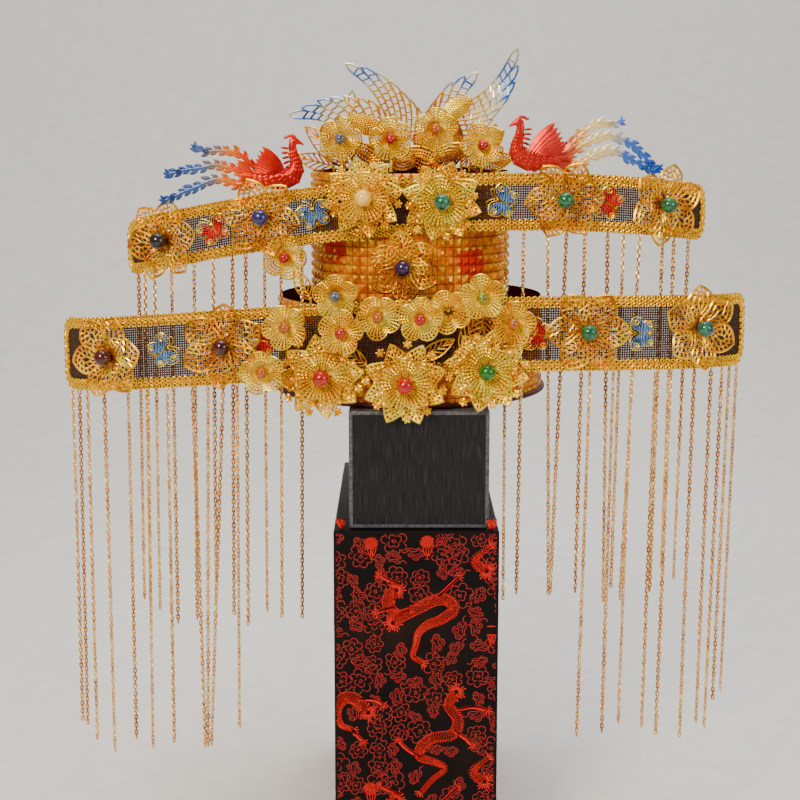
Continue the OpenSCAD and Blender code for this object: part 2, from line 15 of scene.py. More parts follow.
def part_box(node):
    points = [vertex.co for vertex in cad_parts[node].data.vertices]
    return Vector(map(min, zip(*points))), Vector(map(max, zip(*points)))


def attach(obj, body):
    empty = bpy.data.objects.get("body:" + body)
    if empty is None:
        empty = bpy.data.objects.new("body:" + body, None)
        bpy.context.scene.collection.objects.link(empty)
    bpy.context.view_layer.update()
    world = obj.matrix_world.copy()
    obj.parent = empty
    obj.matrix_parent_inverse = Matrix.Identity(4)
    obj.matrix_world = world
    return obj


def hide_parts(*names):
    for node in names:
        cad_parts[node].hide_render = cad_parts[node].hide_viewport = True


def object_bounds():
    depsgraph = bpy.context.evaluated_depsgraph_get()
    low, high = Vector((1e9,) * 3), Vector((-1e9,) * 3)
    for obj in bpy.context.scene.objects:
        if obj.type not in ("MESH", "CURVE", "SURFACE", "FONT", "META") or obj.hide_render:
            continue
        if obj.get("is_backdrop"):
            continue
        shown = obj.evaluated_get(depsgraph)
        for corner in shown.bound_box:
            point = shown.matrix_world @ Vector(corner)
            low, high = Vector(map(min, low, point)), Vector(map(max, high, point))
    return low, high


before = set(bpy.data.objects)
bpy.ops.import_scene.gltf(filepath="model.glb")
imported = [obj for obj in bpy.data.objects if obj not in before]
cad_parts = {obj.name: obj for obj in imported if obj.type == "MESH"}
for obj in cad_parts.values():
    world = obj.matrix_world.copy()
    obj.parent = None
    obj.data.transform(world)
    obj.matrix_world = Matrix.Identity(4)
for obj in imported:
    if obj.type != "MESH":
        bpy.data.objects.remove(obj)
cad_low, cad_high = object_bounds()
BODY = "root"
MM = 0.001
chance = random.Random(7)
moved = Matrix.Translation


def stretched(x, y, z):
    return Matrix.Diagonal((x, y, z, 1))


def grown(size):
    return Matrix.Scale(size, 4)


def box_mm(node):
    """A CAD node's lowest and highest corner, in millimetres."""
    low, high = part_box(node)
    return low / MM, high / MM


# The cap and the stand, read from the frame
cap_low, cap_high = box_mm("cap_base")
drum_low, drum_high = box_mm("cap_drum")
column_low, column_high = box_mm("display_column")
block_low, block_high = box_mm("display_block")
CAP_X = (cap_low.x + cap_high.x) / 2
RIM_R = (cap_high.x - cap_low.x) / 2
RIM_Z = cap_low.z
CAP_TOP = drum_high.z
BASE_H = cap_high.z - cap_low.z
DRUM_R = (drum_high.x - drum_low.x) / 2
CAP_WALL = 2.5
SEAT = 0.3

# The bands, one value for each tier, upper then lower
UPPER, LOWER = 0, 1
TIERS = ("upper", "lower")
HALF_W = (220, 258)
END_DRAW = 0.047
BAND_H = (43, 56)
BAND_SHIFT = (0, -9)
RISE = (128, 28)
DROP_LEFT = (38, 22)
DROP_RIGHT = (11, 3)
CREST = (0.38, 0.6)
CURL = (48, 55)
CURL_POWER = 6
BRAID_W = 9.5
BRAID_T = 4
NET_T = 1.5
CORNER_R = 14
FRONT = (DRUM_R + SEAT + BRAID_T / 2, RIM_R + SEAT + BRAID_T / 2)
FRINGE = (285, 280)


def drop(t, s):
    """How much lower the band's edge hangs at a share s of its half width."""
    s = np.asarray(s, float)
    left = DROP_LEFT[t] * ((s - CREST[t]) / (1 + CREST[t])) ** 2
    right = DROP_RIGHT[t] * ((s - CREST[t]) / (1 - CREST[t])) ** 2
    return np.where(s < CREST[t], left, right)


def reach_slope(t, s):
    """Millimetres that the band runs sideways for one whole share."""
    return HALF_W[t] * (1 + END_DRAW * (1 - 4 * np.abs(s) ** 3))


def heading(t, s):
    """The angle that the band's front turns by at a share, in radians."""
    s = np.asarray(s, float)
    curl = np.sign(s) * CURL_POWER * CURL[t] * np.abs(s) ** (CURL_POWER - 1)
    return np.arctan(curl / reach_slope(t, s))


def on_band(t, s, up, out):
    """Points over the band's lower edge, at a height and a distance in front of its middle."""
    s = np.asarray(s, float)
    a = heading(t, s)
    reach = s * HALF_W[t] * (1 + END_DRAW * (1 - np.abs(s) ** 3))
    x = BAND_SHIFT[t] + reach + out * np.sin(a)
    y = CURL[t] * np.abs(s) ** CURL_POWER - FRONT[t] - out * np.cos(a)
    z = RIM_Z + RISE[t] - drop(t, s) + up
    return np.stack(np.broadcast_arrays(x, y, z), -1)


def end_share(t):
    """Share of the half width that one millimetre along the curved end takes."""
    return cos(float(heading(t, 1))) / reach_slope(t, 1)


def band_outline(t, inset, steps=160, corner_steps=8):
    """The band's rounded outline, set in from its edge, as pairs of share and height."""
    k = end_share(t)
    far = 1 - CORNER_R * k
    r = CORNER_R - inset
    top = BAND_H[t] - CORNER_R
    turn = [pi / 2 * i / corner_steps for i in range(corner_steps + 1)]
    path = [(far * (2 * i / steps - 1), top + r) for i in range(steps)]
    path += [(far + r * sin(a) * k, top + r * cos(a)) for a in turn]
    path += [(far + r * cos(a) * k, CORNER_R - r * sin(a)) for a in turn]
    path += [(far * (1 - 2 * i / steps), CORNER_R - r) for i in range(1, steps)]
    path += [(-far - r * sin(a) * k, CORNER_R - r * cos(a)) for a in turn]
    path += [(-far - r * cos(a) * k, top + r * sin(a)) for a in turn[:-1]]
    return np.array(path)


def facing(at, turn=0.0, roll=0.0, nod=0.0):
    """Stands a shape on a point, its +Z to the front, its +Y up, rolled about its own axis."""
    return (moved(Vector([float(c) for c in at]))
            @ Matrix.Rotation(float(turn), 4, "Z")
            @ Matrix.Rotation(radians(90 + nod), 4, "X")
            @ Matrix.Rotation(radians(roll), 4, "Z"))


def carried(place, line, lift=0):
    """A line's points after a move, and lifted."""
    return [tuple(place @ Vector(p) + Vector((0, 0, lift))) for p in line]


def on_band_facing(t, share, up, out, roll=0):
    """Stands a shape over a point of a band, square to its front."""
    return facing(on_band(t, share, up, out), heading(t, share), roll)


def turned(axis, angle, at=(0, 0, 0)):
    return moved(Vector(at)) @ Matrix.Rotation(radians(angle), 4, axis)


# Making shapes


def mesh_of(bm, name="shape"):
    """Ends a bmesh as a mesh of its own."""
    mesh = bpy.data.meshes.new(name)
    bm.to_mesh(mesh)
    bm.free()
    return mesh


def outwards(bm):
    """Ends a closed bmesh with its faces turned outwards."""
    bmesh.ops.recalc_face_normals(bm, faces=bm.faces)
    return mesh_of(bm)


def skin(bm, rings, round_off=True):
    """Faces from each ring of vertices to the next; the rings are closed, or open rows."""
    for near, far in zip(rings, rings[1:]):
        for k in range(len(near) if round_off else len(near) - 1):
            m = (k + 1) % len(near)
            bm.faces.new((near[k], near[m], far[m], far[k]))


def from_curve(curve):
    """The mesh of a curve, with its doubles merged and its faces turned outwards."""
    holder = bpy.data.objects.new("holder", curve)
    bpy.context.scene.collection.objects.link(holder)
    graph = bpy.context.evaluated_depsgraph_get()
    mesh = bpy.data.meshes.new_from_object(holder.evaluated_get(graph))
    bpy.data.objects.remove(holder)
    bpy.data.curves.remove(curve)
    bm = bmesh.new()
    bm.from_mesh(mesh)
    bpy.data.meshes.remove(mesh)
    bmesh.ops.remove_doubles(bm, verts=bm.verts, dist=1e-4)
    return outwards(bm)


def spline(curve, points, closed=False, swell=None):
    """Adds a line of points, in three dimensions, with a swell of the thickness at each."""
    points = np.asarray(points, float)
    line = curve.splines.new("POLY")
    line.points.add(len(points) - 1)
    line.points.foreach_set("co", np.insert(points, 3, 1, axis=1).ravel())
    if swell is not None:
        line.points.foreach_set("radius", np.asarray(swell, float))
    line.use_cyclic_u = closed
    return line


def wires(lines, radius, closed=False, sides=4, swell=None):
    """Round wires along lines of points: four, six or eight sides to a wire."""
    curve = bpy.data.curves.new("wire", "CURVE")
    curve.dimensions = "3D"
    curve.bevel_depth = radius
    curve.bevel_resolution = (sides - 4) // 2
    curve.use_fill_caps = True
    for i, line in enumerate(lines):
        spline(curve, line, closed, None if swell is None else swell[i])
    return from_curve(curve)


def smooth_line(points, steps=5):
    """A curve through chosen points."""
    p = np.asarray(points, float)
    p = np.vstack([2 * p[0] - p[1], p, 2 * p[-1] - p[-2]])
    u = np.linspace(0, 1, steps, endpoint=False)[:, None]
    parts = [0.5 * (2 * b + (c - a) * u + (2 * a - 5 * b + 4 * c - d) * u ** 2
                    + (3 * b - a - 3 * c + d) * u ** 3)
             for a, b, c, d in zip(p, p[1:], p[2:], p[3:])]
    return np.vstack(parts + [p[-2:-1]])


def run_of(line):
    """How far along a line each of its points lies."""
    return np.append(0, np.cumsum(np.linalg.norm(np.diff(line, axis=0), axis=1)))


def raised(line, form):
    """A flat line lifted off its plane by a function of x and y."""
    line = np.asarray(line, float)
    return np.insert(line, 2, form(line[:, 0], line[:, 1]), axis=1)


def ways_of(line):
    """Unit ways along a line and across it."""
    way = np.gradient(line, axis=0)
    way /= np.maximum(np.linalg.norm(way, axis=1), 1e-6)[:, None]
    return way, np.stack([-way[:, 1], way[:, 0]], -1)


def corners(mesh):
    """A mesh's vertices as an array."""
    co = np.empty(len(mesh.vertices) * 3)
    mesh.vertices.foreach_get("co", co)
    return co.reshape(-1, 3)


def read_all(items, key, kind=np.int32):
    """One value of each of a mesh's items, as an array."""
    values = np.empty(len(items), kind)
    items.foreach_get(key, values)
    return values


def array_of(unit, places):
    """One mesh of a unit set at each place, a list of 4 x 4 matrices."""
    co = corners(unit)
    m = np.array([list(map(list, p)) for p in places])
    points = np.einsum("nij,vj->nvi", m[:, :3, :3], co) + m[:, None, :3, 3]
    starts = read_all(unit.polygons, "loop_start")
    loops = read_all(unit.loops, "vertex_index")
    copies = np.arange(len(places))[:, None]
    mesh = bpy.data.meshes.new("array")
    mesh.vertices.add(points.size // 3)
    mesh.vertices.foreach_set("co", points.ravel())
    mesh.loops.add(copies.size * loops.size)
    mesh.loops.foreach_set("vertex_index", (loops + len(co) * copies).ravel())
    mesh.polygons.add(copies.size * starts.size)
    mesh.polygons.foreach_set("loop_start", (starts + loops.size * copies).ravel())
    mesh.polygons.foreach_set("material_index", np.tile(
        read_all(unit.polygons, "material_index"), copies.size))
    mesh.update(calc_edges=True)
    return mesh


def joined(parts):
    """One mesh of several; each part is a mesh or a pair of a mesh and its material's number."""
    bm = bmesh.new()
    for part in parts:
        mesh, slot = part if isinstance(part, tuple) else (part, None)
        first = len(bm.faces)
        bm.from_mesh(mesh)
        if slot is not None:
            bm.faces.ensure_lookup_table()
            for face in bm.faces[first:]:
                face.material_index = slot
    return mesh_of(bm)


def finished(name, mesh, finishes, stands_for=(), smooth=35):
    """Turns a mesh in millimetres into a piece of the crown that rides on its body."""
    mesh.name = name
    mesh.transform(grown(MM))
    mesh.shade_smooth()
    mesh.set_sharp_from_angle(angle=radians(smooth))
    for finish in finishes:
        mesh.materials.append(finish)
    piece = bpy.data.objects.new(name, mesh)
    bpy.context.scene.collection.objects.link(piece)
    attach(piece, BODY)
    if stands_for:
        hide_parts(*stands_for)
    return piece


# Finishes


def linear(hex_colour):
    """An sRGB hex colour as the linear values that the shaders read."""
    values = [int(hex_colour[i:i + 2], 16) / 255 for i in (1, 3, 5)]
    return tuple(c / 12.92 if c <= 0.04045 else ((c + 0.055) / 1.055) ** 2.4
                 for c in values) + (1.0,)


def add(tree, kind, inputs=(), stops=(), out=None, to=None, **settings):
    """Adds a node with its settings, its inputs as values or links, and a ramp's stops. It
    gives the node's output, linked on to the shader's input where one is named."""
    made = tree.nodes.new("ShaderNode" + kind)
    for key, value in settings.items():
        setattr(made, key, value)
    for key, value in dict(inputs).items():
        socket = made.inputs[key] if isinstance(key, int) else next(
            i for i in made.inputs if i.enabled and i.name == key)
        if isinstance(value, bpy.types.NodeSocket):
            tree.links.new(value, socket)
        else:
            socket.default_value = linear(value) if isinstance(value, str) else value
    for i, (place, colour) in enumerate(stops):
        bars = made.color_ramp.elements
        bar = bars[i] if i < 2 else bars.new(place)
        bar.position = place
        bar.color = linear(colour)
    given = made.outputs[out] if out else next(o for o in made.outputs if o.enabled)
    if to:
        tree.links.new(given, tree.nodes["Principled BSDF"].inputs[to])
    return given


def new_finish(name, **constants):
    """A material, its tree and Object coordinates; constants go on the shader itself."""
    material = bpy.data.materials.new(name)
    material.use_nodes = True
    tree = material.node_tree
    for key, value in constants.items():
        tree.nodes["Principled BSDF"].inputs[key.replace("_", " ")].default_value = value
    return material, tree, add(tree, "TexCoord", out="Object")


def bump(tree, height, deep_mm, strength=1.0):
    """Relief of a real depth."""
    add(tree, "Bump", {"Height": height, "Distance": deep_mm * MM, "Strength": strength},
        to="Normal")


def clouded(tree, place, per_m, stops, detail=3.0, distortion=0.0, give_tone=False):
    """Base colour in soft clouds, so many to a metre; gives the clouds or their tone."""
    cloud = add(tree, "TexNoise", {"Vector": place, "Scale": per_m, "Detail": detail,
                                   "Distortion": distortion})
    tone = add(tree, "ValToRGB", {"Fac": cloud}, stops, to="Base Color")
    return tone if give_tone else cloud


def grained(tree, place, per_m, deep_mm, strength, rough=None):
    """Fine relief all over, with a roughness that follows it between two values."""
    grain = add(tree, "TexNoise", {"Vector": place, "Scale": per_m, "Detail": 2.0})
    if rough:
        add(tree, "MapRange", {"Value": grain, "To Min": rough[0], "To Max": rough[1]},
            to="Roughness")
    bump(tree, grain, deep_mm, strength)


def far_from(tree, place, at, low_mm, high_mm, ends=()):
    """How far a spot lies from a point, from 0 to 1 between two distances, or other ends."""
    away = add(tree, "VectorMath", {0: place, 1: tuple(c * MM for c in at)},
               operation="DISTANCE")
    return add(tree, "MapRange", {"Value": away, "From Min": low_mm * MM,
                                  "From Max": high_mm * MM, **dict(ends)})


def gilt_finish(name, deep, body, light, roughness, patch_mm=14):
    """Gold plate on brass: warm metal whose tone wanders from place to place, with a fine
    pressed grain of 1.2 mm that breaks up its reflections."""
    material, tree, place = new_finish(name, Metallic=1.0)
    clouded(tree, place, 1000 / patch_mm, ((0.3, deep), (0.5, body), (0.7, light)))
    grained(tree, place, 1000 / 1.2, 0.05, 0.6, (roughness - 0.08, roughness + 0.1))
    return material


def bead_finish(name, dark, light, vein_mm=4.0):
    """A polished stone-glass bead: cloudy bands of two tones under a clear, wet gloss."""
    material, tree, place = new_finish(name, Roughness=0.12, IOR=1.5, Coat_Weight=0.3,
                                       Coat_Roughness=0.03)
    clouded(tree, place, 1000 / vein_mm, ((0.35, dark), (0.65, light)), 4.0, 1.5)
    return material


def thread_finish(name, dark, light, roughness, metallic=0.0, strand_mm=0.5, gloss=0.3):
    """Twisted thread: short light and dark strands that lie across its run."""
    material, tree, place = new_finish(name, Roughness=roughness, Metallic=metallic,
                                       Specular_IOR_Level=gloss)
    strands = clouded(tree, place, 1000 / strand_mm, ((0.35, dark), (0.65, light)))
    bump(tree, strands, 0.08)
    return material


def lacquered_finish(name, at, stops, near_mm, far_mm, roughness, metallic, patch_mm, wander):
    """Metal washed with lacquer: its colour changes with the distance from one point, in
    uneven steps, over a fine brushed grain."""
    material, tree, place = new_finish(name, Metallic=metallic, Roughness=roughness)
    mottle = add(tree, "TexNoise", {"Vector": place, "Scale": 1000 / patch_mm, "Detail": 3.0})
    shaken = add(tree, "Math", {0: mottle, 1: wander, 2: -wander / 2},
                 operation="MULTIPLY_ADD")
    total = add(tree, "Math", {0: far_from(tree, place, at, near_mm, far_mm), 1: shaken},
                operation="ADD")
    add(tree, "ValToRGB", {"Fac": total}, stops, to="Base Color")
    grained(tree, place, 1400, 0.15, 0.7)
    return material


GILT = gilt_finish("filigree_gilt", "#C88208", "#F4B414", "#FFDE48", 0.34)
PALE_GILT = gilt_finish("pale_sunlit_gilt", "#F0B614", "#FFDC34", "#FFF27C", 0.36)
CHAIN_GILT = gilt_finish("rose_gilt_chain", "#C8843A", "#EDB45C", "#FFE49A", 0.3, patch_mm=9)
COPPER = gilt_finish("bare_copper_claws", "#7E3B1C", "#A8582A", "#C77A40", 0.35)
BEADS = {
    "cream": bead_finish("cream_bead", "#F0B030", "#FFDC70", 7),
    "teal": bead_finish("teal_bead", "#06362A", "#2A8060"),
    "green": bead_finish("green_bead", "#04320A", "#1E7A18"),
    "sea": bead_finish("sea_green_bead", "#05301A", "#267846"),
    "olive": bead_finish("olive_glass_bead", "#4A4C02", "#989408"),
    "red": bead_finish("red_bead", "#860400", "#BE0E00"),
    "orange": bead_finish("orange_bead", "#823A00", "#BC5E00"),
    "brown": bead_finish("brown_bead", "#1C0402", "#5A1408"),
    "dark": bead_finish("dark_bead", "#080606", "#2A2024"),
    "violet": bead_finish("violet_bead", "#140620", "#38184C"),
    "blue": bead_finish("blue_violet_bead", "#100E36", "#302C72"),
    "grey": bead_finish("grey_bead", "#34343A", "#74747C"),
}


# Camera, floor and light

FRAME_PX = 800
FOCAL_PX = 1550
PITCH = 10.2
CAMERA_AT = (-12, -1220, RIM_Z + 207.6)


def make_camera():
    lens = bpy.data.cameras.new("camera")
    lens.sensor_width = 36
    lens.lens = lens.sensor_width * FOCAL_PX / FRAME_PX
    lens.clip_end = 20
    camera = bpy.data.objects.new("camera", lens)
    camera.location = Vector(CAMERA_AT) * MM
    camera.rotation_euler = (radians(90 - PITCH), 0, 0)
    bpy.context.scene.collection.objects.link(camera)
    bpy.context.scene.camera = camera


def soft_box(name, at, aim, size, watts, colour="#FFFFFF"):
    light = bpy.data.lights.new(name, "AREA")
    light.size = size
    light.energy = watts
    light.color = linear(colour)[:3]
    holder = bpy.data.objects.new(name, light)
    holder.location = at
    holder.rotation_euler = (Vector(aim) - Vector(at)).to_track_quat("-Z", "Y").to_euler()
    bpy.context.scene.collection.objects.link(holder)


def make_studio():
    """A pale floor that sweeps up behind the crown, with soft light from above and both sides."""
    bm = bmesh.new()
    rows = [(y, 0.0) for y in (-6, -3, 0, 1.2)]
    rows += [(1.2 + 1.5 * sin(a), 1.5 - 1.5 * cos(a))
             for a in np.linspace(0.1, pi / 2, 14)] + [(2.7, 6.0)]
    skin(bm, [[bm.verts.new((x, y, z)) for x in (-8, 8)] for y, z in rows], False)
    mesh = mesh_of(bm, "sweep")
    mesh.shade_smooth()
    floor = bpy.data.objects.new("floor", mesh)
    bpy.context.scene.collection.objects.link(floor)
    material, tree, place = new_finish("pale_floor", Roughness=0.8)
    clouded(tree, place, 40, ((0.3, "#DDDBD7"), (0.7, "#E6E4E0")), 4.0)
    floor.data.materials.append(material)
    floor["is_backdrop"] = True
    middle = (0, 0, 0.42)
    soft_box("key", (-0.8, -1.5, 1.35), middle, 0.6, 36, "#FFF1DC")
    soft_box("fill", (1.3, -1.1, 0.8), middle, 0.8, 9, "#FFF6EC")
    soft_box("rim", (0.5, 1.0, 1.5), middle, 0.8, 10)
    soft_box("top", (0, -0.2, 1.7), middle, 0.6, 6)
    soft_box("wash", (0, 0.9, 2.6), (0, 2.4, 0.5), 2.4, 44)
    world = bpy.data.worlds.new("studio")
    bpy.context.scene.world = world
    world.use_nodes = True
    world.node_tree.nodes["Background"].inputs["Color"].default_value = linear("#EEE9E0")
    world.node_tree.nodes["Background"].inputs["Strength"].default_value = 0.42


make_camera()
make_studio()


# The nets: fine threads that cross squarely and follow the band

NET_PITCH = 1.7
NET_THREAD = 0.52
NET_FINISH = thread_finish("plum_brown_net", "#1E0E0A", "#5E3E2E", 0.6, strand_mm=0.8)


def even_shares(t, reach, step):
    """Shares at even steps along a band, from one end of its reach to the other."""
    shares = np.linspace(-reach, reach, 4000)
    path = on_band(t, shares, 0, 0)
    run = run_of(path)
    return np.interp(np.arange(step / 2, run[-1], step), run, shares)


def make_net(t, name, node):
    tuck = BRAID_W - 1.2
    reach = 1 - tuck * end_share(t)
    low, high = tuck, BAND_H[t] - tuck
    shares = np.linspace(-reach, reach, 140)
    along = [on_band(t, shares, up, 0.15) for up in np.arange(low + 0.5, high, NET_PITCH)]
    across = [on_band(t, np.full(2, s), np.array([low, high]), -0.15)
              for s in even_shares(t, reach, NET_PITCH)]
    mesh = joined([wires(along, NET_THREAD), wires(across, NET_THREAD)])
    return finished(name, mesh, [NET_FINISH], [node])


for t, tier in enumerate(TIERS):
    make_net(t, tier + "_net", tier + "_band")


# The braids: a shaded tape with two thin plaited strands between rows of wire loops

BRAID_FINISH = thread_finish("gold_thread_braid", "#EAA406", "#FFD21C", 0.34, 0.75, 1.6)
# The tape's dark finish is painted shade in the gaps between the loops
BRAID_GROUND = thread_finish("shaded_braid_ground", "#4A2604", "#8A5208", 0.55, 0.2, 1.1)
BRAID_REPEAT = 53
PLAIT_REPEAT = 9
LOOP_STEP = 4.3
STRAND_STEP = 1.5
TAPE_HALF, TAPE_T = 3.9, 0.7
PLAIT_HALF, PLAIT_UP = 1.1, 1.2
PLAIT_WIRE = 0.6
LOOP_R = 1.5
LOOP_WIRE = 0.72
LOOP_ROW, LOOP_UP = 2.75, 0.9


def wire_ring(radius, wire, segments=8, sides=4):
    """A closed ring of wire in the XY plane."""
    bm = bmesh.new()
    bmesh.ops.create_circle(bm, segments=sides, radius=wire)
    bmesh.ops.rotate(bm, verts=bm.verts, matrix=Matrix.Rotation(pi / 2, 3, "X"))
    bmesh.ops.translate(bm, verts=bm.verts, vec=(radius, 0, 0))
    bmesh.ops.spin(bm, geom=bm.verts[:] + bm.edges[:], cent=(0, 0, 0), axis=(0, 0, 1),
                   angle=2 * pi, steps=segments, use_merge=True)
    return outwards(bm)


def round_the_band(t, inset, step):
    """Even steps round a band: places, then the ways along, across outwards and to the front."""
    pairs = band_outline(t, inset)
    pairs = np.vstack([pairs, pairs[:1]])
    path = on_band(t, pairs[:, 0], pairs[:, 1], 0)
    run = run_of(path)
    at = np.linspace(0, run[-1], round(run[-1] / step), endpoint=False)
    share = np.interp(at, run, pairs[:, 0])
    up = np.interp(at, run, pairs[:, 1])
    places = on_band(t, share, up, 0)
    front = on_band(t, share, up, 1) - places
    along = np.roll(places, -1, 0) - np.roll(places, 1, 0)
    along /= np.linalg.norm(along, axis=1)[:, None]
    return places, along, np.cross(front, along), front


def place_of(origin, x_way, y_way, z_way, size=1.0):
    """A 4 x 4 matrix from a point, three ways and a size."""
    m = np.eye(4)
    m[:3, 0], m[:3, 1], m[:3, 2] = x_way, y_way, z_way
    m[:3, :3] *= size
    m[:3, 3] = origin
    return m


def flat_tape(places, across, front, half, thick):
    """A closed flat tape along places."""
    bm = bmesh.new()
    offsets = ((-half, -thick), (half, -thick), (half, 0), (0.5 * half, thick),
               (-0.5 * half, thick), (-half, 0))
    rings = [[bm.verts.new(places[i] + a * across[i] + f * front[i]) for a, f in offsets]
             for i in range(len(places))]
    skin(bm, rings + rings[:1])
    return outwards(bm)


def make_braid(t, name, node):
    places, along, across, front = round_the_band(t, BRAID_W / 2, STRAND_STEP)
    turn = 2 * pi * np.arange(len(places)) / len(places)
    length = len(places) * STRAND_STEP
    clusters = round(length / BRAID_REPEAT)
    plaits = round(length / PLAIT_REPEAT)
    tape = flat_tape(places, across, front, TAPE_HALF, TAPE_T)
    angle = (turn * plaits)[:, None]
    lines = [places + across * flip * PLAIT_HALF * np.sin(angle)
             + front * (0.4 * np.cos(2 * angle) + PLAIT_UP) for flip in (-1, 1)]
    strands = wires(lines, PLAIT_WIRE, closed=True)
    places, along, across, front = round_the_band(t, BRAID_W / 2, LOOP_STEP)
    turn = 2 * pi * np.arange(len(places)) / len(places)
    swell = 0.5 + 0.5 * np.cos(turn * clusters)
    loops = []
    for i in range(len(places)):
        for side in (-1, 1):
            lean = chance.uniform(-0.2, 0.2)
            up_way = across[i] * cos(lean) + front[i] * sin(lean)
            out_way = np.cross(along[i], up_way)
            at = (places[i] + across[i] * side * (LOOP_ROW - 0.5 * swell[i])
                  + front[i] * LOOP_UP)
            loops.append(place_of(at, along[i], up_way, out_way, 0.84 + 0.2 * swell[i]))
    rings = array_of(wire_ring(LOOP_R, LOOP_WIRE, 9, 5), loops)
    return finished(name, joined([(tape, 1), (strands, 0), (rings, 0)]),
                    [BRAID_FINISH, BRAID_GROUND], [node])


for t, tier in enumerate(TIERS):
    make_braid(t, tier + "_looped_braid", tier + "_braid")


# The fringes: cable chain whose oval links stand at right angles to each other

LINK_WIRE = 0.56
LINK_W = 3.2
LINK_PITCH = 3.1
# Columns: share along the band, drift to the right, drift forward, share of the length
CHAINS = {
    "upper_left": (
        (-0.952, -3, 0, 0.90), (-0.922, -3, 1, 0.91), (-0.880, -3, 0, 0.93),
        (-0.812, -2, 0, 0.97), (-0.727, -4, 0, 0.965), (-0.660, -3, 0, 0.92),
        (-0.594, -4, 0, 0.965), (-0.550, -3, 0, 1.0), (-0.488, -2, 0, 0.97),
        (-0.434, -3, 0, 0.99), (-0.366, -3, 0, 1.0)),
    "upper_right": (
        (0.2865, 0, 14, 0.97), (0.344, -2, 0, 0.97), (0.420, 5, 3, 0.97),
        (0.482, -7, -3, 0.97), (0.543, -2, 0, 0.965), (0.618, 3, 0, 0.99),
        (0.673, -3, 0, 0.95), (0.730, -8, 3, 0.98), (0.816, -2, 0, 0.96),
        (0.862, -2, 0, 0.895), (0.925, -3, 0, 0.93)),
    "lower_left": (
        (-0.972, -2, 0, 0.95), (-0.943, -3, 1, 0.95), (-0.911, -2, 0, 0.99),
        (-0.849, -1, 0, 1.015), (-0.769, -2, 0, 0.97), (-0.708, -4, 0, 0.995),
        (-0.650, -2, 0, 0.98), (-0.578, 4, 5, 0.99), (-0.534, -6, 0, 0.995),
        (-0.492, -15, -5, 1.0), (-0.453, -3, 0, 0.945)),
    "lower_right": (
        (0.505, -4, 0, 1.005), (0.570, -2, 0, 0.995), (0.622, -3, 0, 0.97),
        (0.693, -3, 0, 0.985), (0.739, -3, 0, 1.01), (0.814, -2, 0, 1.025),
        (0.872, -2, 0, 0.995), (0.914, -4, 1, 1.015), (0.943, -3, -1, 0.945),
        (0.975, -3, 0, 0.93))}


def chain_link():
    """An oval link of round wire that stands along Z, its width along X."""
    radius = LINK_W / 2 - LINK_WIRE
    stretch = (LINK_PITCH + 4 * LINK_WIRE - LINK_W) / 2
    bm = bmesh.new()
    bmesh.ops.create_circle(bm, segments=4, radius=LINK_WIRE)
    bmesh.ops.translate(bm, verts=bm.verts, vec=(radius, 0, 0))
    bmesh.ops.rotate(bm, verts=bm.verts, matrix=Matrix.Rotation(pi / 8, 3, "Y"))
    bmesh.ops.spin(bm, geom=bm.verts[:] + bm.edges[:], cent=(0, 0, 0), axis=(0, 1, 0),
                   angle=2 * pi, steps=8, use_merge=True)
    for vertex in bm.verts:
        vertex.co.z += copysign(stretch, vertex.co.z)
    return outwards(bm)


def corner_lift(t, s):
    """How far the rounded corner lifts the band's lower edge at a share."""
    e = CORNER_R - min((1 - abs(s)) / end_share(t), CORNER_R)
    return CORNER_R - sqrt(CORNER_R ** 2 - e * e)


def chain_places(t, share, drift, forward, length):
    """A place for each link of one chain, from the braid down to the chain's foot."""
    top = Vector(on_band(t, share, corner_lift(t, share) + 0.6, 0))
    foot = top + Vector((drift, -forward, -FRINGE[t] * length))
    run = foot - top
    hang = Vector((0, 0, -1)).rotation_difference(run).to_matrix().to_4x4()
    first = chance.uniform(0, 180)
    twist = chance.uniform(-60, 60)
    count = int(run.length / LINK_PITCH)
    for i in range(count):
        spin = first + 90 * (i % 2) + twist * i / count + chance.uniform(-9, 9)
        yield (moved(top + run * ((i + 0.5) / count)) @ hang
               @ Matrix.Rotation(radians(spin), 4, "Z"))


def make_fringe(t, table, name, node):
    places = [p for row in table for p in chain_places(t, *row)]
    mesh = array_of(chain_link(), places)
    return finished(name, mesh, [CHAIN_GILT], [node], smooth=80)


for side, table in CHAINS.items():
    make_fringe(LOWER if "lower" in side else UPPER, table, "fringe_" + side, "chains_" + side)


# Filigree: lattices of wire inside a rim

FLOWER_R = 29
PETAL_L = 25
PETAL_W = 19.5
RIM_WIRE = 0.95
BAR_WIRE = 0.66


def half_width(q, width, lean, power):
    """Half the width of a petal or leaf at a share of its length; both its ends are points."""
    return width / 2 * sin(pi * q ** lean) ** power


def oval_edge(half, length, steps=12):
    """The closed edge of a shape from the half widths along it, with points at both ends."""
    share = [i / steps for i in range(1, steps)]
    near = [(q * length, half(q)) for q in share]
    far = [(q * length, -half(q)) for q in reversed(share)]
    return np.array([(0, 0)] + near + [(length, 0)] + far)


def resampled(loop, count, shift=0.0):
    """Points at even steps along a closed loop, moved on by a share of one step."""
    pts = np.vstack([loop, loop[:1]])
    run = run_of(pts)
    at = (np.arange(count) + shift) % count * run[-1] / count
    return np.stack([np.interp(at, run, pts[:, i]) for i in range(pts.shape[1])], -1)


def rings_and_bars(loops, counts, lean):
    """Nested closed loops with slanting bars between each and the next."""
    lines = []
    for outer, inner, count in zip(loops, loops[1:], counts):
        near = resampled(outer, count)
        far = resampled(inner, count, lean)
        lines += [np.array(pair) for pair in zip(near, far)]
    return lines


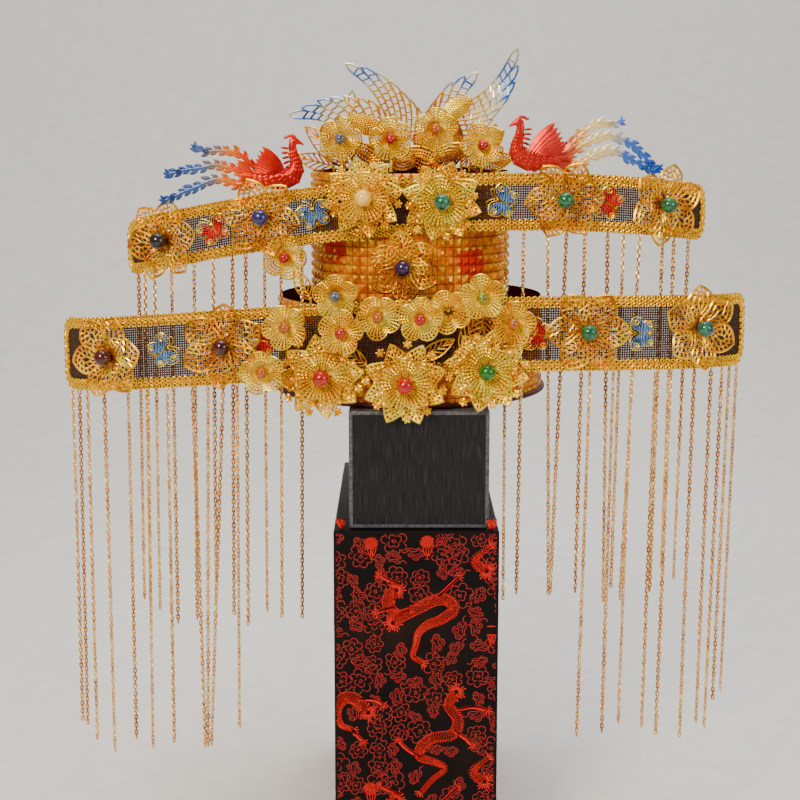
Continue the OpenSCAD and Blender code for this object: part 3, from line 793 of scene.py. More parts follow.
def lattice(loops, counts, lean, form):
    """Wires of a nested lattice, lifted off its plane by a function of x and y."""
    bars = [raised(line, form) for line in rings_and_bars(loops, counts, lean)]
    rims = [raised(loop, form) for loop in loops]
    return joined([wires(rims[:1], RIM_WIRE, closed=True),
                   wires(rims[1:], BAR_WIRE, closed=True), wires(bars, BAR_WIRE)])


def scaled_loop(loop, centre, along, across):
    return (loop - centre) * (along, across) + centre


def pointed_petal():
    """A flower's petal: a dark slot down its middle and two rows of holes in a double rim."""
    edge = oval_edge(lambda q: half_width(q, PETAL_W, 1.3, 0.9), PETAL_L, 13)
    centre = np.array((0.53 * PETAL_L, 0))
    inner = scaled_loop(edge, centre, 0.66, 0.62)
    slot = scaled_loop(edge, centre, 0.36, 0.2)

    def cup(x, y):
        x, y = x / PETAL_L, y / PETAL_W
        return 1.6 * (1 - 3.4 * y * y) * np.sin(pi * np.clip(x, 0, 1)) - 1.2 * x ** 3

    return lattice([edge, inner, slot], [16, 9], 0.5, cup)


def round_bar(radius, sides=10):
    """A bar of unit length below the origin, for pins and hubs that are scaled to length."""
    bm = bmesh.new()
    bmesh.ops.create_cone(bm, cap_ends=True, segments=sides, radius1=radius, radius2=radius,
                          depth=1, matrix=moved((0, 0, -0.5)))
    return mesh_of(bm)


def claw_star(radius, count=8):
    """The ring of pointed claws that a bead sits in."""
    bm = bmesh.new()
    for i in range(count):
        at = (Matrix.Rotation(2 * pi * i / count, 4, "Z")
              @ moved((0.5 * radius, 0, 0.2 * radius))
              @ Matrix.Rotation(radians(68), 4, "Y")
              @ moved((0, 0, 0.45 * radius)))
        bmesh.ops.create_cone(bm, cap_ends=True, segments=6, radius1=0.16 * radius,
                              radius2=0.02 * radius, depth=0.95 * radius, matrix=at)
    return mesh_of(bm)


# Columns: node, tier, share along the band, height over its edge, size, turn
FLOWERS = (
    ("flower_upper_left_outer", UPPER, -0.817, 21.5, 1.04, 12),
    ("flower_upper_left_inner", UPPER, -0.493, 26, 1.0, 50),
    ("flower_upper_right_inner", UPPER, 0.468, 23.5, 1.0, 4),
    ("flower_upper_right_outer", UPPER, 0.794, 24, 1.04, 20),
    ("flower_lower_left_outer", LOWER, -0.81, 27, 1.08, 10),
    ("flower_lower_left_inner", LOWER, -0.487, 30, 1.06, 26),
    ("flower_lower_right_inner", LOWER, 0.492, 30.5, 1.06, 0),
    ("flower_lower_right_outer", LOWER, 0.806, 32, 1.08, 35))
FLOWER_OUT = 6
BEAD_R = 6.2
PETAL_TILT = 12
PETAL_FOOT = 0.14
HUB_OUT = 1.6
petal_shape = pointed_petal()
bar_shape = round_bar(1.4)
hub_shape = round_bar(0.24 * FLOWER_R, 16)
claw_shape = claw_star(BEAD_R)


def make_flower(node, base, turn, size, reach):
    """Six pierced petals round a hub, a claw setting for the bead and a pin behind."""
    roll = base @ Matrix.Rotation(radians(turn), 4, "Z") @ grown(size)
    petals = [roll @ turned("Z", 60 * i) @ turned("Y", -PETAL_TILT + chance.uniform(-5, 5),
                                                 (PETAL_FOOT * FLOWER_R, 0, 0.8))
              @ turned("X", chance.uniform(-7, 7)) for i in range(6)]
    parts = [(array_of(petal_shape, petals), 0),
             (array_of(hub_shape, [roll @ moved((0, 0, HUB_OUT)) @ stretched(1, 1, 2)]), 0),
             (array_of(claw_shape, [roll @ moved((0, 0, HUB_OUT))]), 1),
             (array_of(bar_shape, [base @ stretched(1, 1, reach)]), 0)]
    return finished(node + "_filigree", joined(parts), [GILT, COPPER], [node])


for node, t, share, up, size, turn in FLOWERS:
    make_flower(node, on_band_facing(t, share, up, FLOWER_OUT), turn, size,
                FLOWER_OUT - NET_T / 2)

DRUM_FLOWER_X = CAP_X - 6
DRUM_FLOWER_OUT = 12
DRUM_FLOWER_SIZE = 0.93
drum_face = -sqrt(DRUM_R ** 2 - (DRUM_FLOWER_X - CAP_X) ** 2)
drum_flower_z = RIM_Z + BASE_H + 1.5 + DRUM_FLOWER_SIZE * FLOWER_R
make_flower("flower_drum_middle",
            facing((DRUM_FLOWER_X, drum_face - DRUM_FLOWER_OUT, drum_flower_z)), 35,
            DRUM_FLOWER_SIZE, DRUM_FLOWER_OUT)


# Blossoms: one dished plate of five round petals, its holes in rings round the bead

BLOSSOM_R = 16
BLOSSOM_SLOTS = 34
EDGE_WIRE, ROW_WIRE, SLOT_WIRE = 0.68, 0.6, 0.58


def lobe(angle):
    """Share of the radius that a blossom's edge reaches at an angle."""
    return 0.78 + 0.22 * abs(cos(2.5 * angle)) ** 0.7


def lobed_loop(share, points=60):
    turn = [2 * pi * i / points for i in range(points)]
    return np.array([(share * BLOSSOM_R * lobe(a) * cos(a),
                      share * BLOSSOM_R * lobe(a) * sin(a)) for a in turn])


def blossom_plate():
    """Five dished lobes: slots that run to the middle and three rows of holes at the edge."""
    def dish(x, y):
        away = np.hypot(x, y) / BLOSSOM_R
        crease = 1 - np.abs(np.cos(2.5 * np.arctan2(y, x)))
        return 0.3 * BLOSSOM_R * away ** 1.7 - 0.1 * BLOSSOM_R * crease * away

    slots = []
    for i in range(BLOSSOM_SLOTS):
        a = 2 * pi * (i + 0.5) / BLOSSOM_SLOTS
        share = np.linspace(0.22, 1, 7) * BLOSSOM_R * lobe(a)
        slots.append(np.stack([share * cos(a), share * sin(a)], -1))
    slots = [raised(line, dish) for line in slots]
    rims = [raised(lobed_loop(share), dish) for share in (1, 0.86, 0.72, 0.58)]
    return joined([wires(rims[:1], EDGE_WIRE, closed=True),
                   wires(rims[1:], ROW_WIRE, closed=True), wires(slots, SLOT_WIRE)])


blossom_shape = blossom_plate()
blossom_claws = claw_star(4.2)
stem_shape = round_bar(1.1, 8)
# Columns: tier, share along the band, height, distance in front, how far its pin sits above
# its middle, turn, bead
BLOSSOMS_LEFT = (
    (UPPER, -0.42, -6, 4.5, 10, 0, "red"), (LOWER, -0.183, 62, 13, -9, 20, "grey"),
    (LOWER, -0.317, 41.5, 13, 0, 40, "orange"), (LOWER, -0.168, 36, 18.5, 0, 10, "red"),
    (LOWER, -0.378, 11, 18.5, 0, 30, "orange"), (LOWER, -0.07, 45.5, 13, 0, 50, "orange"))
BLOSSOMS_RIGHT = (
    (LOWER, 0.042, 43.5, 18.5, 0, 15, "red"), (LOWER, 0.117, 48, 13, 0, 45, "none"),
    (LOWER, 0.205, 58, 18.5, -8, 25, "green"), (LOWER, 0.289, 38, 13, 0, 5, "orange"))
# Columns: right of the cap's axis, over its top, turn, bead
TOP_LEFT = ((-52, 25, 0, "grey"), (-15, 25, 30, "red"))
TOP_RIGHT = ((18, 32, 15, "orange"), (53, 20, 40, "red"))
TOP_STEM_Y = -46
TOP_REACH = 16
SMALL_BEAD_R = 4.2


def top_base(x, up):
    return facing((CAP_X + x, TOP_STEM_Y - TOP_REACH, CAP_TOP + up))


def blossom_parts(bases, turns):
    """Blossoms and the claws of their beads, each turned and tipped a little."""
    rolls = [base @ turned("Z", turn) @ turned("X", chance.uniform(-10, 10))
             for base, turn in zip(bases, turns)]
    return [(array_of(blossom_shape, rolls), 0), (array_of(blossom_claws, rolls), 1)]


def make_front_blossoms(table, name, node):
    bases = [on_band_facing(*row[:4]) for row in table]
    pins = [base @ moved((0, pin, 0)) @ stretched(1, 1, out - BRAID_T / 2)
            for base, (t, share, up, out, pin, turn, bead) in zip(bases, table)]
    parts = blossom_parts(bases, [row[-2] for row in table])
    parts.append((array_of(stem_shape, pins), 0))
    return finished(name, joined(parts), [PALE_GILT, COPPER], [node])


def make_top_blossoms(table, name, node):
    """The cap's blossoms stand on wires that rise from its top and bend to the front."""
    parts = blossom_parts([top_base(*row[:2]) for row in table], [row[-2] for row in table])
    bend = [(0, 0), (0, 0.6), (0.05, 0.85), (0.2, 0.97), (0.5, 1.0), (1, 1)]
    lines = [[(CAP_X + x, TOP_STEM_Y - TOP_REACH * b, CAP_TOP + up * u) for b, u in bend]
             for x, up, turn, bead in table]
    parts.append((wires(lines, 1.1, sides=8), 0))
    return finished(name, joined(parts), [PALE_GILT, COPPER], [node])


make_front_blossoms(BLOSSOMS_LEFT, "front_blossoms_left", "blossoms_front_left")
make_front_blossoms(BLOSSOMS_RIGHT, "front_blossoms_right", "blossoms_front_right")
make_top_blossoms(TOP_LEFT, "top_blossoms_left", "blossoms_top_left")
make_top_blossoms(TOP_RIGHT, "top_blossoms_right", "blossoms_top_right")


# Beads

def round_bead(radius):
    bm = bmesh.new()
    bmesh.ops.create_uvsphere(bm, u_segments=24, v_segments=14, radius=radius)
    return mesh_of(bm)


def make_beads(name, node, places, radius, tone, glass):
    mesh = array_of(round_bead(radius), places)
    return finished(name, mesh, [BEADS[glass]], [node], smooth=80)


BEAD_TONES = {
    "flower_upper_left_outer": "dark", "flower_upper_left_inner": "blue",
    "flower_upper_right_inner": "green", "flower_upper_right_outer": "green",
    "flower_lower_left_outer": "brown", "flower_lower_left_inner": "brown",
    "flower_lower_right_inner": "green", "flower_lower_right_outer": "teal",
    "rosette_upper_left": "cream", "rosette_upper_right": "teal",
    "rosette_lower_left": "red", "rosette_lower_middle": "red",
    "rosette_lower_right": "green", "drum_middle": "violet"}
for carrier, tone in BEAD_TONES.items():
    low, high = box_mm("bead_" + carrier)
    make_beads(f"round_bead_{carrier}", "bead_" + carrier,
               [moved((low + high) / 2)], (high.x - low.x) / 2, tone,
               "sea" if tone == "green" and carrier.startswith("flower") else tone)
lift = moved((0, 0, 1 + SEAT + SMALL_BEAD_R))
for tone in ("red", "orange", "green", "grey"):
    bases = [on_band_facing(*row[:4]) for row in BLOSSOMS_LEFT + BLOSSOMS_RIGHT
             if row[-1] == tone]
    bases += [top_base(*row[:2]) for row in TOP_LEFT + TOP_RIGHT if row[-1] == tone]
    make_beads(f"small_beads_{tone}", f"blossom_beads_{tone}", [b @ lift for b in bases],
               SMALL_BEAD_R, tone, "olive" if tone == "green" else tone)


# Rosettes: open kite petals at the back, curls and small florets, a dished plate in front

# Columns: node, tier, share along the band, height, size, turn, how far in front of the
# band's middle its pin ends
ROSETTES = (
    ("rosette_upper_left", UPPER, -0.168, 31, 1.05, 10, NET_T / 2),
    ("rosette_upper_right", UPPER, 0.08, 24, 1.05, 30, NET_T / 2),
    ("rosette_lower_left", LOWER, -0.221, 4, 1.1, 8, BRAID_T / 2),
    ("rosette_lower_middle", LOWER, 0.002, -4, 1.1, 20, -BRAID_T / 2),
    ("rosette_lower_right", LOWER, 0.22, 4, 1.1, 34, BRAID_T / 2))
ROSETTE_OUT = (7, 10)
ROSETTE_R = 29
FRONT_LIFT = 2.6


def kite_petal(length, width):
    """An open kite: two nested rings of holes inside a beaded edge."""
    def half(q):
        return width / 2 * min(q / 0.55, (1 - q) / 0.45) ** 0.8

    def sag(x, y):
        return 1.4 * np.sin(pi * np.clip(x / length, 0, 1)) - 0.04 * y * y

    edge = oval_edge(half, length, 13)
    centre = np.array((0.56 * length, 0))
    loops = [edge, scaled_loop(edge, centre, 0.68, 0.62), scaled_loop(edge, centre, 0.34, 0.26)]
    grains = [moved(p) for p in raised(resampled(edge, 32), sag)]
    return joined([lattice(loops, [18, 10], 0.0, sag), array_of(round_grain(0.8), grains)])


def round_grain(radius):
    bm = bmesh.new()
    bmesh.ops.create_icosphere(bm, subdivisions=1, radius=radius)
    return mesh_of(bm)


def vane(length, width, thick=0.8, bend=0.0, steps=6):
    """A small solid leaf or feather along +X with a ridge down its front."""
    bm = bmesh.new()
    rings = []
    for i in range(1, steps):
        q = i / steps
        half = half_width(q, width, 1, 0.7)
        mid = bend * q * q
        rings.append([bm.verts.new((q * length, mid + y, z)) for y, z in
                      ((half, 0), (0, thick * 0.7), (-half, 0), (0, -thick * 0.3))])
    start = bm.verts.new((0, 0, 0))
    end = bm.verts.new((length, bend, 0))
    skin(bm, rings)
    for k in range(4):
        bm.faces.new((start, rings[0][(k + 1) % 4], rings[0][k]))
        bm.faces.new((end, rings[-1][k], rings[-1][(k + 1) % 4]))
    return outwards(bm)


def floret():
    """A small star flower with a grain in its middle."""
    star = array_of(vane(3.4, 2.0, 0.7, steps=4), [turned("Z", 60 * i) for i in range(6)])
    return joined([star, array_of(round_grain(0.9), [moved((0, 0, 0.6))])])


kite_shape = kite_petal(0.9 * ROSETTE_R, 0.56 * ROSETTE_R)
floret_shape = floret()
curl_shape = wire_ring(2.1, 0.42)
core_shape = round_bar(0.26 * ROSETTE_R, 16)
for node, t, share, up, size, turn, behind in ROSETTES:
    out = ROSETTE_OUT[t]
    base = on_band_facing(t, share, up, out)
    roll = base @ turned("Z", turn) @ grown(size)
    kites = [roll @ turned("Z", 45 * i) @ turned("Y", chance.uniform(-10, -2), (1.6, 0, 0.6))
             for i in range(8)]
    florets = [roll @ turned("Z", 22.5 + 45 * i + chance.uniform(-7, 7))
               @ turned("Y", chance.uniform(-25, 5), (chance.uniform(21, 26.5), 0, 3.4))
               @ turned("Z", chance.uniform(0, 60)) for i in range(8)]
    florets += [roll @ turned("Z", 30 * i + chance.uniform(-7, 7))
                @ moved((chance.uniform(16.5, 19.5), 0, 4.4)) for i in range(12)]
    curls = [roll @ turned("Z", 15 + 30 * i + chance.uniform(-6, 6))
             @ turned("Y", chance.uniform(-40, 0), (chance.uniform(17, 23), 0, 3.2))
             for i in range(12)]
    front = roll @ moved((0, 0, FRONT_LIFT + 0.4))
    parts = [(array_of(kite_shape, kites), 2), (array_of(floret_shape, florets), 0),
             (array_of(curl_shape, curls), 0),
             (array_of(blossom_shape, [front @ grown(1.1)]), 2),
             (array_of(core_shape, [front @ stretched(1, 1, 2.6)]), 0),
             (array_of(claw_shape, [front]), 1),
             (array_of(bar_shape, [base @ stretched(1, 1, out - behind)]), 0)]
    finished(node + "_filigree", joined(parts), [GILT, COPPER, PALE_GILT],
             [node])


# The cap: a shell pressed with rows of pyramid studs between dark grooves

def stud_finish(rounds):
    """Amber foil over pressed studs: deep orange gold that glows red in two soft rounds, where
    a red lining shows through, with a bright, slightly uneven gloss."""
    material, tree, place = new_finish("amber_foil_studs", Metallic=0.45,
                                       Specular_IOR_Level=0.2)
    tone = clouded(tree, place, 150, ((0.34, "#CC6400"), (0.5, "#EC8E00"), (0.66, "#FFB400")),
                   2.0, give_tone=True)
    for at, radius in rounds:
        near = far_from(tree, place, at, radius, radius + 4, {"To Min": 0.9, "To Max": 0.0})
        tone = add(tree, "Mix", {"Factor": near, "A": tone, "B": "#D80A00"}, to="Base Color",
                   data_type="RGBA")
    grained(tree, place, 900, 0.03, 0.6, (0.26, 0.46))
    return material


STUD_FINISH = stud_finish((((-61.7, -50, 462.8), 11), ((41.8, -60.7, 452.6), 11)))
# Near-black finish: lining on the cap's inner walls, painted shade on its upward top and shoulder
LINING_AND_PAINTED_SHADE = thread_finish("maroon_lining_and_painted_shade", "#100302", "#280806", 0.9, strand_mm=1.2, gloss=0.0)
GROOVE_FINISH = thread_finish("red_brown_grooves", "#4A1404", "#8A3608", 0.5, strand_mm=1.5)
ROW_H = 6.75
GROOVE = 0.28
STUD_SIDE, STUD_H = 3.0, 1.9
# Share of studs whose top gets pale gilt as a painted highlight
PAINTED_HIGHLIGHT_SHARE = 0.15


def row_and_turn(face):
    """Where a face of the cap lies, as its height and its angle round the axis."""
    at = face.calc_center_median()
    return round(at.z, 1), round(degrees(atan2(at.y, at.x)), 1)


def studded(profile, wall_r, segments, node, name):
    """Spins a closed profile round the cap's axis and presses studs into its outer wall. Some
    stud tops and upward stud facets get pale gilt as a painted highlight. The other faces off the
    wall get the near-black finish: painted shade on the top and shoulder, lining inside.
    """
    bm = bmesh.new()
    loop = [bm.verts.new((r, 0, z)) for r, z in profile]
    edges = [bm.edges.new((a, b)) for a, b in zip(loop, loop[1:])]
    if profile[0][0] > 0 and profile[-1][0] > 0:
        edges.append(bm.edges.new((loop[-1], loop[0])))
    bmesh.ops.spin(bm, geom=loop + edges, cent=(0, 0, 0), axis=(0, 0, 1),
                   angle=2 * pi, steps=segments, use_merge=True)
    bmesh.ops.remove_doubles(bm, verts=bm.verts, dist=1e-3)
    bmesh.ops.recalc_face_normals(bm, faces=bm.faces)
    cells = [f for f in bm.faces if abs(f.normal.z) < 0.1 and f.calc_area() > 20
             and f.calc_center_median().xy.length > wall_r - 0.5]
    cells.sort(key=row_and_turn)
    # Every face starts near-black, which is painted shade on the top and shoulder and lining
    # inside; the wall's cells then get the foil
    for face in bm.faces:
        face.material_index = 3
    # About one stud in seven gets a pale gilt top: a painted highlight
    for face in cells:
        face.material_index = 2 if chance.random() < PAINTED_HIGHLIGHT_SHARE else 0
    made = bmesh.ops.inset_individual(bm, faces=cells, thickness=GROOVE, depth=-0.12)
    for face in made["faces"]:
        face.material_index = 1
    made = bmesh.ops.inset_individual(bm, faces=cells, thickness=STUD_SIDE, depth=STUD_H)
    for face in made["faces"]:
        face.normal_update()
        at = face.calc_center_median()
        # Upward facets in scattered bands round the cap get pale gilt: a painted highlight from
        # the light above
        lit = sin(7 * atan2(at.y, at.x) + 1.7 * (at.z // ROW_H)) > 0.25
        face.material_index = 2 if face.normal.z > 0.2 and lit else 0
    bmesh.ops.translate(bm, verts=bm.verts, vec=(CAP_X, 0, RIM_Z))
    return finished(name, mesh_of(bm), [STUD_FINISH, GROOVE_FINISH, PALE_GILT, LINING_AND_PAINTED_SHADE],
                    [node], smooth=10)


def rows_between(a, b, size):
    """Even values from a to b, about a size apart."""
    return list(np.linspace(a, b, round(abs(b - a) / size) + 1))


cap_h = CAP_TOP - RIM_Z
base_profile = [(RIM_R, z) for z in rows_between(0, BASE_H, ROW_H)]
base_profile += [(r, BASE_H) for r in rows_between(RIM_R, DRUM_R - CAP_WALL, ROW_H)[1:]]
base_profile += [(DRUM_R - CAP_WALL, BASE_H - CAP_WALL), (RIM_R - CAP_WALL, BASE_H - CAP_WALL),
                 (RIM_R - CAP_WALL, 0)]
studded(base_profile, RIM_R, 96, "cap_base", "studded_base_band")
drum_foot = BASE_H + SEAT
drum_profile = [(DRUM_R, z) for z in rows_between(drum_foot, cap_h, ROW_H)]
drum_profile += [(r, cap_h) for r in rows_between(DRUM_R, 10, ROW_H)[1:]] + [(0, cap_h)]
inner = [(0, cap_h - CAP_WALL), (DRUM_R - CAP_WALL, cap_h - CAP_WALL),
         (DRUM_R - CAP_WALL, drum_foot)]
studded(drum_profile + inner + [(DRUM_R - 0.1, drum_foot)], DRUM_R, 72, "cap_drum",
        "studded_drum")


# The wings: open feathers of wire whose gold turns blue towards the tips

# Columns: node, stem right of the cap's axis, behind it, over its top, bow, base, tips.
# Bases and tips lie right of the cap's axis and over its top, leading feather first
WINGS = (
    ("wing_low_left", -30, -34, 36, -0.2, ((-46, 27), (-20, 30)),
     ((-91.7, 41.7), (-82, 47.5), (-70, 52.9), (-60.4, 55), (-50.2, 56), (-39.5, 55),
      (-31.7, 53.5), (-25.7, 50))),
    ("wing_high_left", -11, -27, 44, -0.24, ((-16, 24), (3, 22)),
     ((-49.1, 80.1), (-37.1, 77.8), (-26.3, 73.7), (-16.7, 67.8), (-8.3, 60.7),
      (-0.5, 53.6), (5, 48))),
    ("wing_small_right", 22, -27, 43, 0.12, ((30, 32), (12, 28)),
     ((50.5, 73.7), (40.9, 71.3), (31.4, 66.6), (24.8, 60.1), (19.4, 53.6), (14.2, 47.1))),
    ("wing_large_right", 33, -34, 44, -0.2, ((37, 49), (25, 27)),
     ((79.8, 90.9), (80.3, 78.7), (77.8, 66.4), (73.7, 57.1), (67.8, 48.2), (61.9, 39.4),
      (58.1, 33.8), (52.4, 28.6))))
# Shoulders: foot right of the cap's axis, over its top, angle, length and width
SHOULDERS = {"wing_low_left": (-50, 40, -18, 34, 15), "wing_large_right": (22, 38.5, 34, 29, 15)}
WING_WIRE = 0.74
BAR_STEP = 5.6
TIP_L = 9.5
TIP_HALF = 2.9
GRAIN_ROW, GRAIN_STEP = 1.7, 1.9


def bowed(base, tip, bow, u):
    """A line from a base to a tip that bows to its left by a share of its length."""
    way = tip - base
    bend = (base + tip) / 2 + bow * np.array((-way[1], way[0]))
    u = np.asarray(u, float)[:, None]
    return (1 - u) ** 2 * base + 2 * u * (1 - u) * bend + u * u * tip


def along_line(line, runs):
    """Points at given distances along a line."""
    run = run_of(line)
    return np.stack([np.interp(runs, run, line[:, i]) for i in range(line.shape[1])], -1)


def wing_net(y, bow, base, tips):
    """Lines of a wing: rails that end in pointed loops, one past the other, and brick bars."""
    first, last = (np.array(p, float) for p in base)
    tips = np.array(tips, float)
    count = len(tips)
    rails = []
    u = np.linspace(0, 1, 24)
    for i in range(count + 1):
        k = max(i - 1, 0)
        foot = first + (last - first) * i / count
        way = tips[k] - (foot + tips[k]) / 2
        way -= bow * (1 - 0.5 * k / count) * np.array((-way[1], way[0])) * 2
        way /= np.linalg.norm(way)
        out = copysign(1, bow) * np.array((-way[1], way[0]))
        ends = [tips[k] - TIP_L * way - TIP_HALF * out, tips[k] - TIP_L * way + TIP_HALF * out]
        flat = bowed(foot, ends[1 if i else 0], bow * (1 - 0.5 * k / count), u)
        deep = y + 3 * (2 * i / count - 1) ** 2 - 4 * u ** 2
        rails.append(np.stack([CAP_X + flat[:, 0], deep, CAP_TOP + flat[:, 1]], -1))
    lines = list(rails)
    for i, tip in enumerate(tips):
        near, far = rails[i], rails[i + 1][-1]
        tip = np.array((CAP_X + tip[0], far[1], CAP_TOP + tip[1]))
        back = np.linalg.norm(far - tip)
        start = near[np.argmin(np.abs(np.linalg.norm(near - tip, axis=1) - back))]
        for foot in (start, far):
            bulge = foot + 0.55 * (tip - foot) + 0.28 * (foot - (start + far) / 2)
            lines.append(np.array([foot, foot + 0.5 * (bulge - foot), bulge, tip]))
        size = run_of(rails[i + 1])[-1]
        runs = np.arange(5 + BAR_STEP / 2 * (i % 2), size - 1, BAR_STEP)
        for pair in zip(along_line(near, runs), along_line(rails[i + 1], runs + 0.8)):
            lines.append(np.array(pair))
    return lines


def pebbled_shoulder(length, width):
    """The wing's shoulder: a domed leaf of gold covered in rows of grains."""
    grains = []
    for i in range(int(length / GRAIN_ROW)):
        x = GRAIN_ROW * (i + 0.5)
        half = half_width(x / length, width, 1, 0.7)
        for j in range(-4, 5):
            y = GRAIN_STEP * (j + 0.5 * (i % 2))
            if abs(y) < half:
                grains.append(moved((x, y, 2.6 * (1 - (y / half) ** 2))))
    return joined([vane(length, width, 3.6), array_of(round_grain(0.95), grains)])


for node, x, y, up, bow, base, tips in WINGS:
    root = Vector((CAP_X + x, y, CAP_TOP + up))
    stem = [(root.x, root.y, CAP_TOP), tuple(root)]
    parts = [(wires(wing_net(y, bow, base, tips), WING_WIRE), 0),
             (wires([stem], 1.4, sides=10), 1)]
    if node in SHOULDERS:
        x, up, angle, length, width = SHOULDERS[node]
        place = facing((CAP_X + x, y - 3.5, CAP_TOP + up), 0, angle)
        parts.append((array_of(pebbled_shoulder(length, width), [place]), 1))
    if node == "wing_low_left":
        loop = [(-44, 36), (-44.5, 46), (-46.7, 51), (-46, 57), (-44, 60), (-42, 57),
                (-41.5, 51), (-43.6, 46)]
        parts.append((wires([[(CAP_X + a, y - 2, CAP_TOP + z) for a, z in loop]], 0.7), 1))
    tip = Vector((CAP_X + tips[0][0], y, CAP_TOP + tips[0][1]))
    finish = lacquered_finish("blue_tipped_" + node, root, (
        (0.0, "#E8A626"), (0.3, "#F2C75C"), (0.48, "#E4D8B0"), (0.62, "#6E9AD8"),
        (0.74, "#4A80D6"), (0.88, "#C9CDD0"), (1.0, "#EADFBE")), 6,
        (tip - root).length, 0.3, 0.85, 16, 0.6)
    finished(node + "_lattice", joined(parts), [finish, PALE_GILT], [node])


# The phoenixes: cast in relief, with raised wings and flame-edged tail plumes

BIRD_L = 33.5
PERCH_LEFT, PERCH_RIGHT = -0.44, 0.375
# Plumes: chosen points behind the foot and over it, in millimetres
LEFT_PLUMES = (
    ((9.3, 9.3), (19.3, 6), (30, 4.7), (41.6, 8.1), (49.9, 7.1), (58.2, 3.3), (68.9, -0.8),
     (77.2, -5.1), (83, -7)),
    ((9.3, 10.2), (24.2, 12.6), (36.6, 16.7), (46.6, 18.6), (56.5, 16.4), (65.5, 15.3),
     (72.2, 13.8), (79.7, 12.1)),
    ((9.3, 11.2), (19.3, 18.6), (25.9, 24.6), (33.3, 28.1), (44.1, 28.8), (52.4, 28.3),
     (59.8, 30.7)))
RIGHT_PLUMES = (
    ((9.3, 9.3), (24.2, 5.1), (34.1, 6.8), (41.6, 11.1), (49.9, 14.3), (58.2, 15.1), (65.5, 11.6),
     (73, 7.4), (80.5, 3.2), (85.5, 0.5)),
    ((9.3, 10.2), (25.9, 14), (34.1, 19), (42.4, 23.1), (49.9, 26), (57.3, 25.4), (65.5, 22.1),
     (73, 17.7), (79.7, 11.2), (84.6, 6), (89.6, 2.8)),
    ((9.3, 11.2), (22.6, 15.8), (28.3, 21.4), (34.1, 27.3), (41.6, 32.9), (48.2, 35.2),
     (54.9, 34.8), (61.5, 35.6)),
    ((9.3, 11.2), (19, 15.2), (26.5, 20.5), (32, 26.5)))
# Backbone: ahead of the foot, over it, and the body's half height there, in bird lengths
BACKBONE = (
    (-0.62, 0.3, 0.06), (-0.42, 0.26, 0.13), (-0.16, 0.235, 0.2), (0.12, 0.25, 0.235),
    (0.32, 0.33, 0.22), (0.4, 0.48, 0.17), (0.39, 0.64, 0.12), (0.345, 0.8, 0.095),
    (0.32, 0.94, 0.085), (0.33, 1.05, 0.095), (0.4, 1.07, 0.085), (0.47, 1.04, 0.045),
    (0.54, 1.0, 0.02), (0.58, 0.97, 0.004))
SLIM = 0.62
BARB_STEP = 3.2


def flame_plume(points, depth):
    """A tail plume: a flat shaft, flame barbs on both sides, an eye and a forked end."""
    line = smooth_line([(-x, z) for x, z in points], 6)
    way = ways_of(line)[0]
    run = run_of(line)
    share = run / run[-1]
    shaft = wires([[(x, 0, z) for x, z in line]], 1.0, sides=8,
                  swell=[1.9 - 0.8 * share ** 2])
    shaft.transform(moved((0, depth, 0)) @ stretched(1, 0.4, 1))
    hook = vane(1.0, 0.46, 0.18, bend=-0.3, steps=5)
    places = []
    for i, at in enumerate(np.arange(0.2 * run[-1], run[-1] - 1.5, BARB_STEP)):
        k = int(np.argmin(np.abs(run - at)))
        flip = 1 if i % 2 else -1
        lean = flip * (0.92 - 0.2 * share[k])
        angle = degrees(atan2(way[k][1], way[k][0]) + lean)
        size = (5.8 + 1.6 * sin(pi * share[k])) * chance.uniform(0.85, 1.15)
        places.append(facing((line[k][0], depth, line[k][1]), 0, angle)
                      @ stretched(size, flip * size, size))
    end = line[-1]
    angle = degrees(atan2(way[-1][1], way[-1][0]))
    for turn in (-38, 0, 38):
        places.append(facing((end[0] - way[-1][0], depth, end[1] - way[-1][1]), 0,
                             angle + turn) @ grown(5.5))
    spot = line[-2] if len(points) < 5 else line[-7]
    eye = facing((spot[0], depth - 1, spot[1]))
    return [shaft, array_of(hook, places), array_of(wire_ring(1.7, 0.5), [eye]),
            array_of(round_grain(0.9), [eye])]


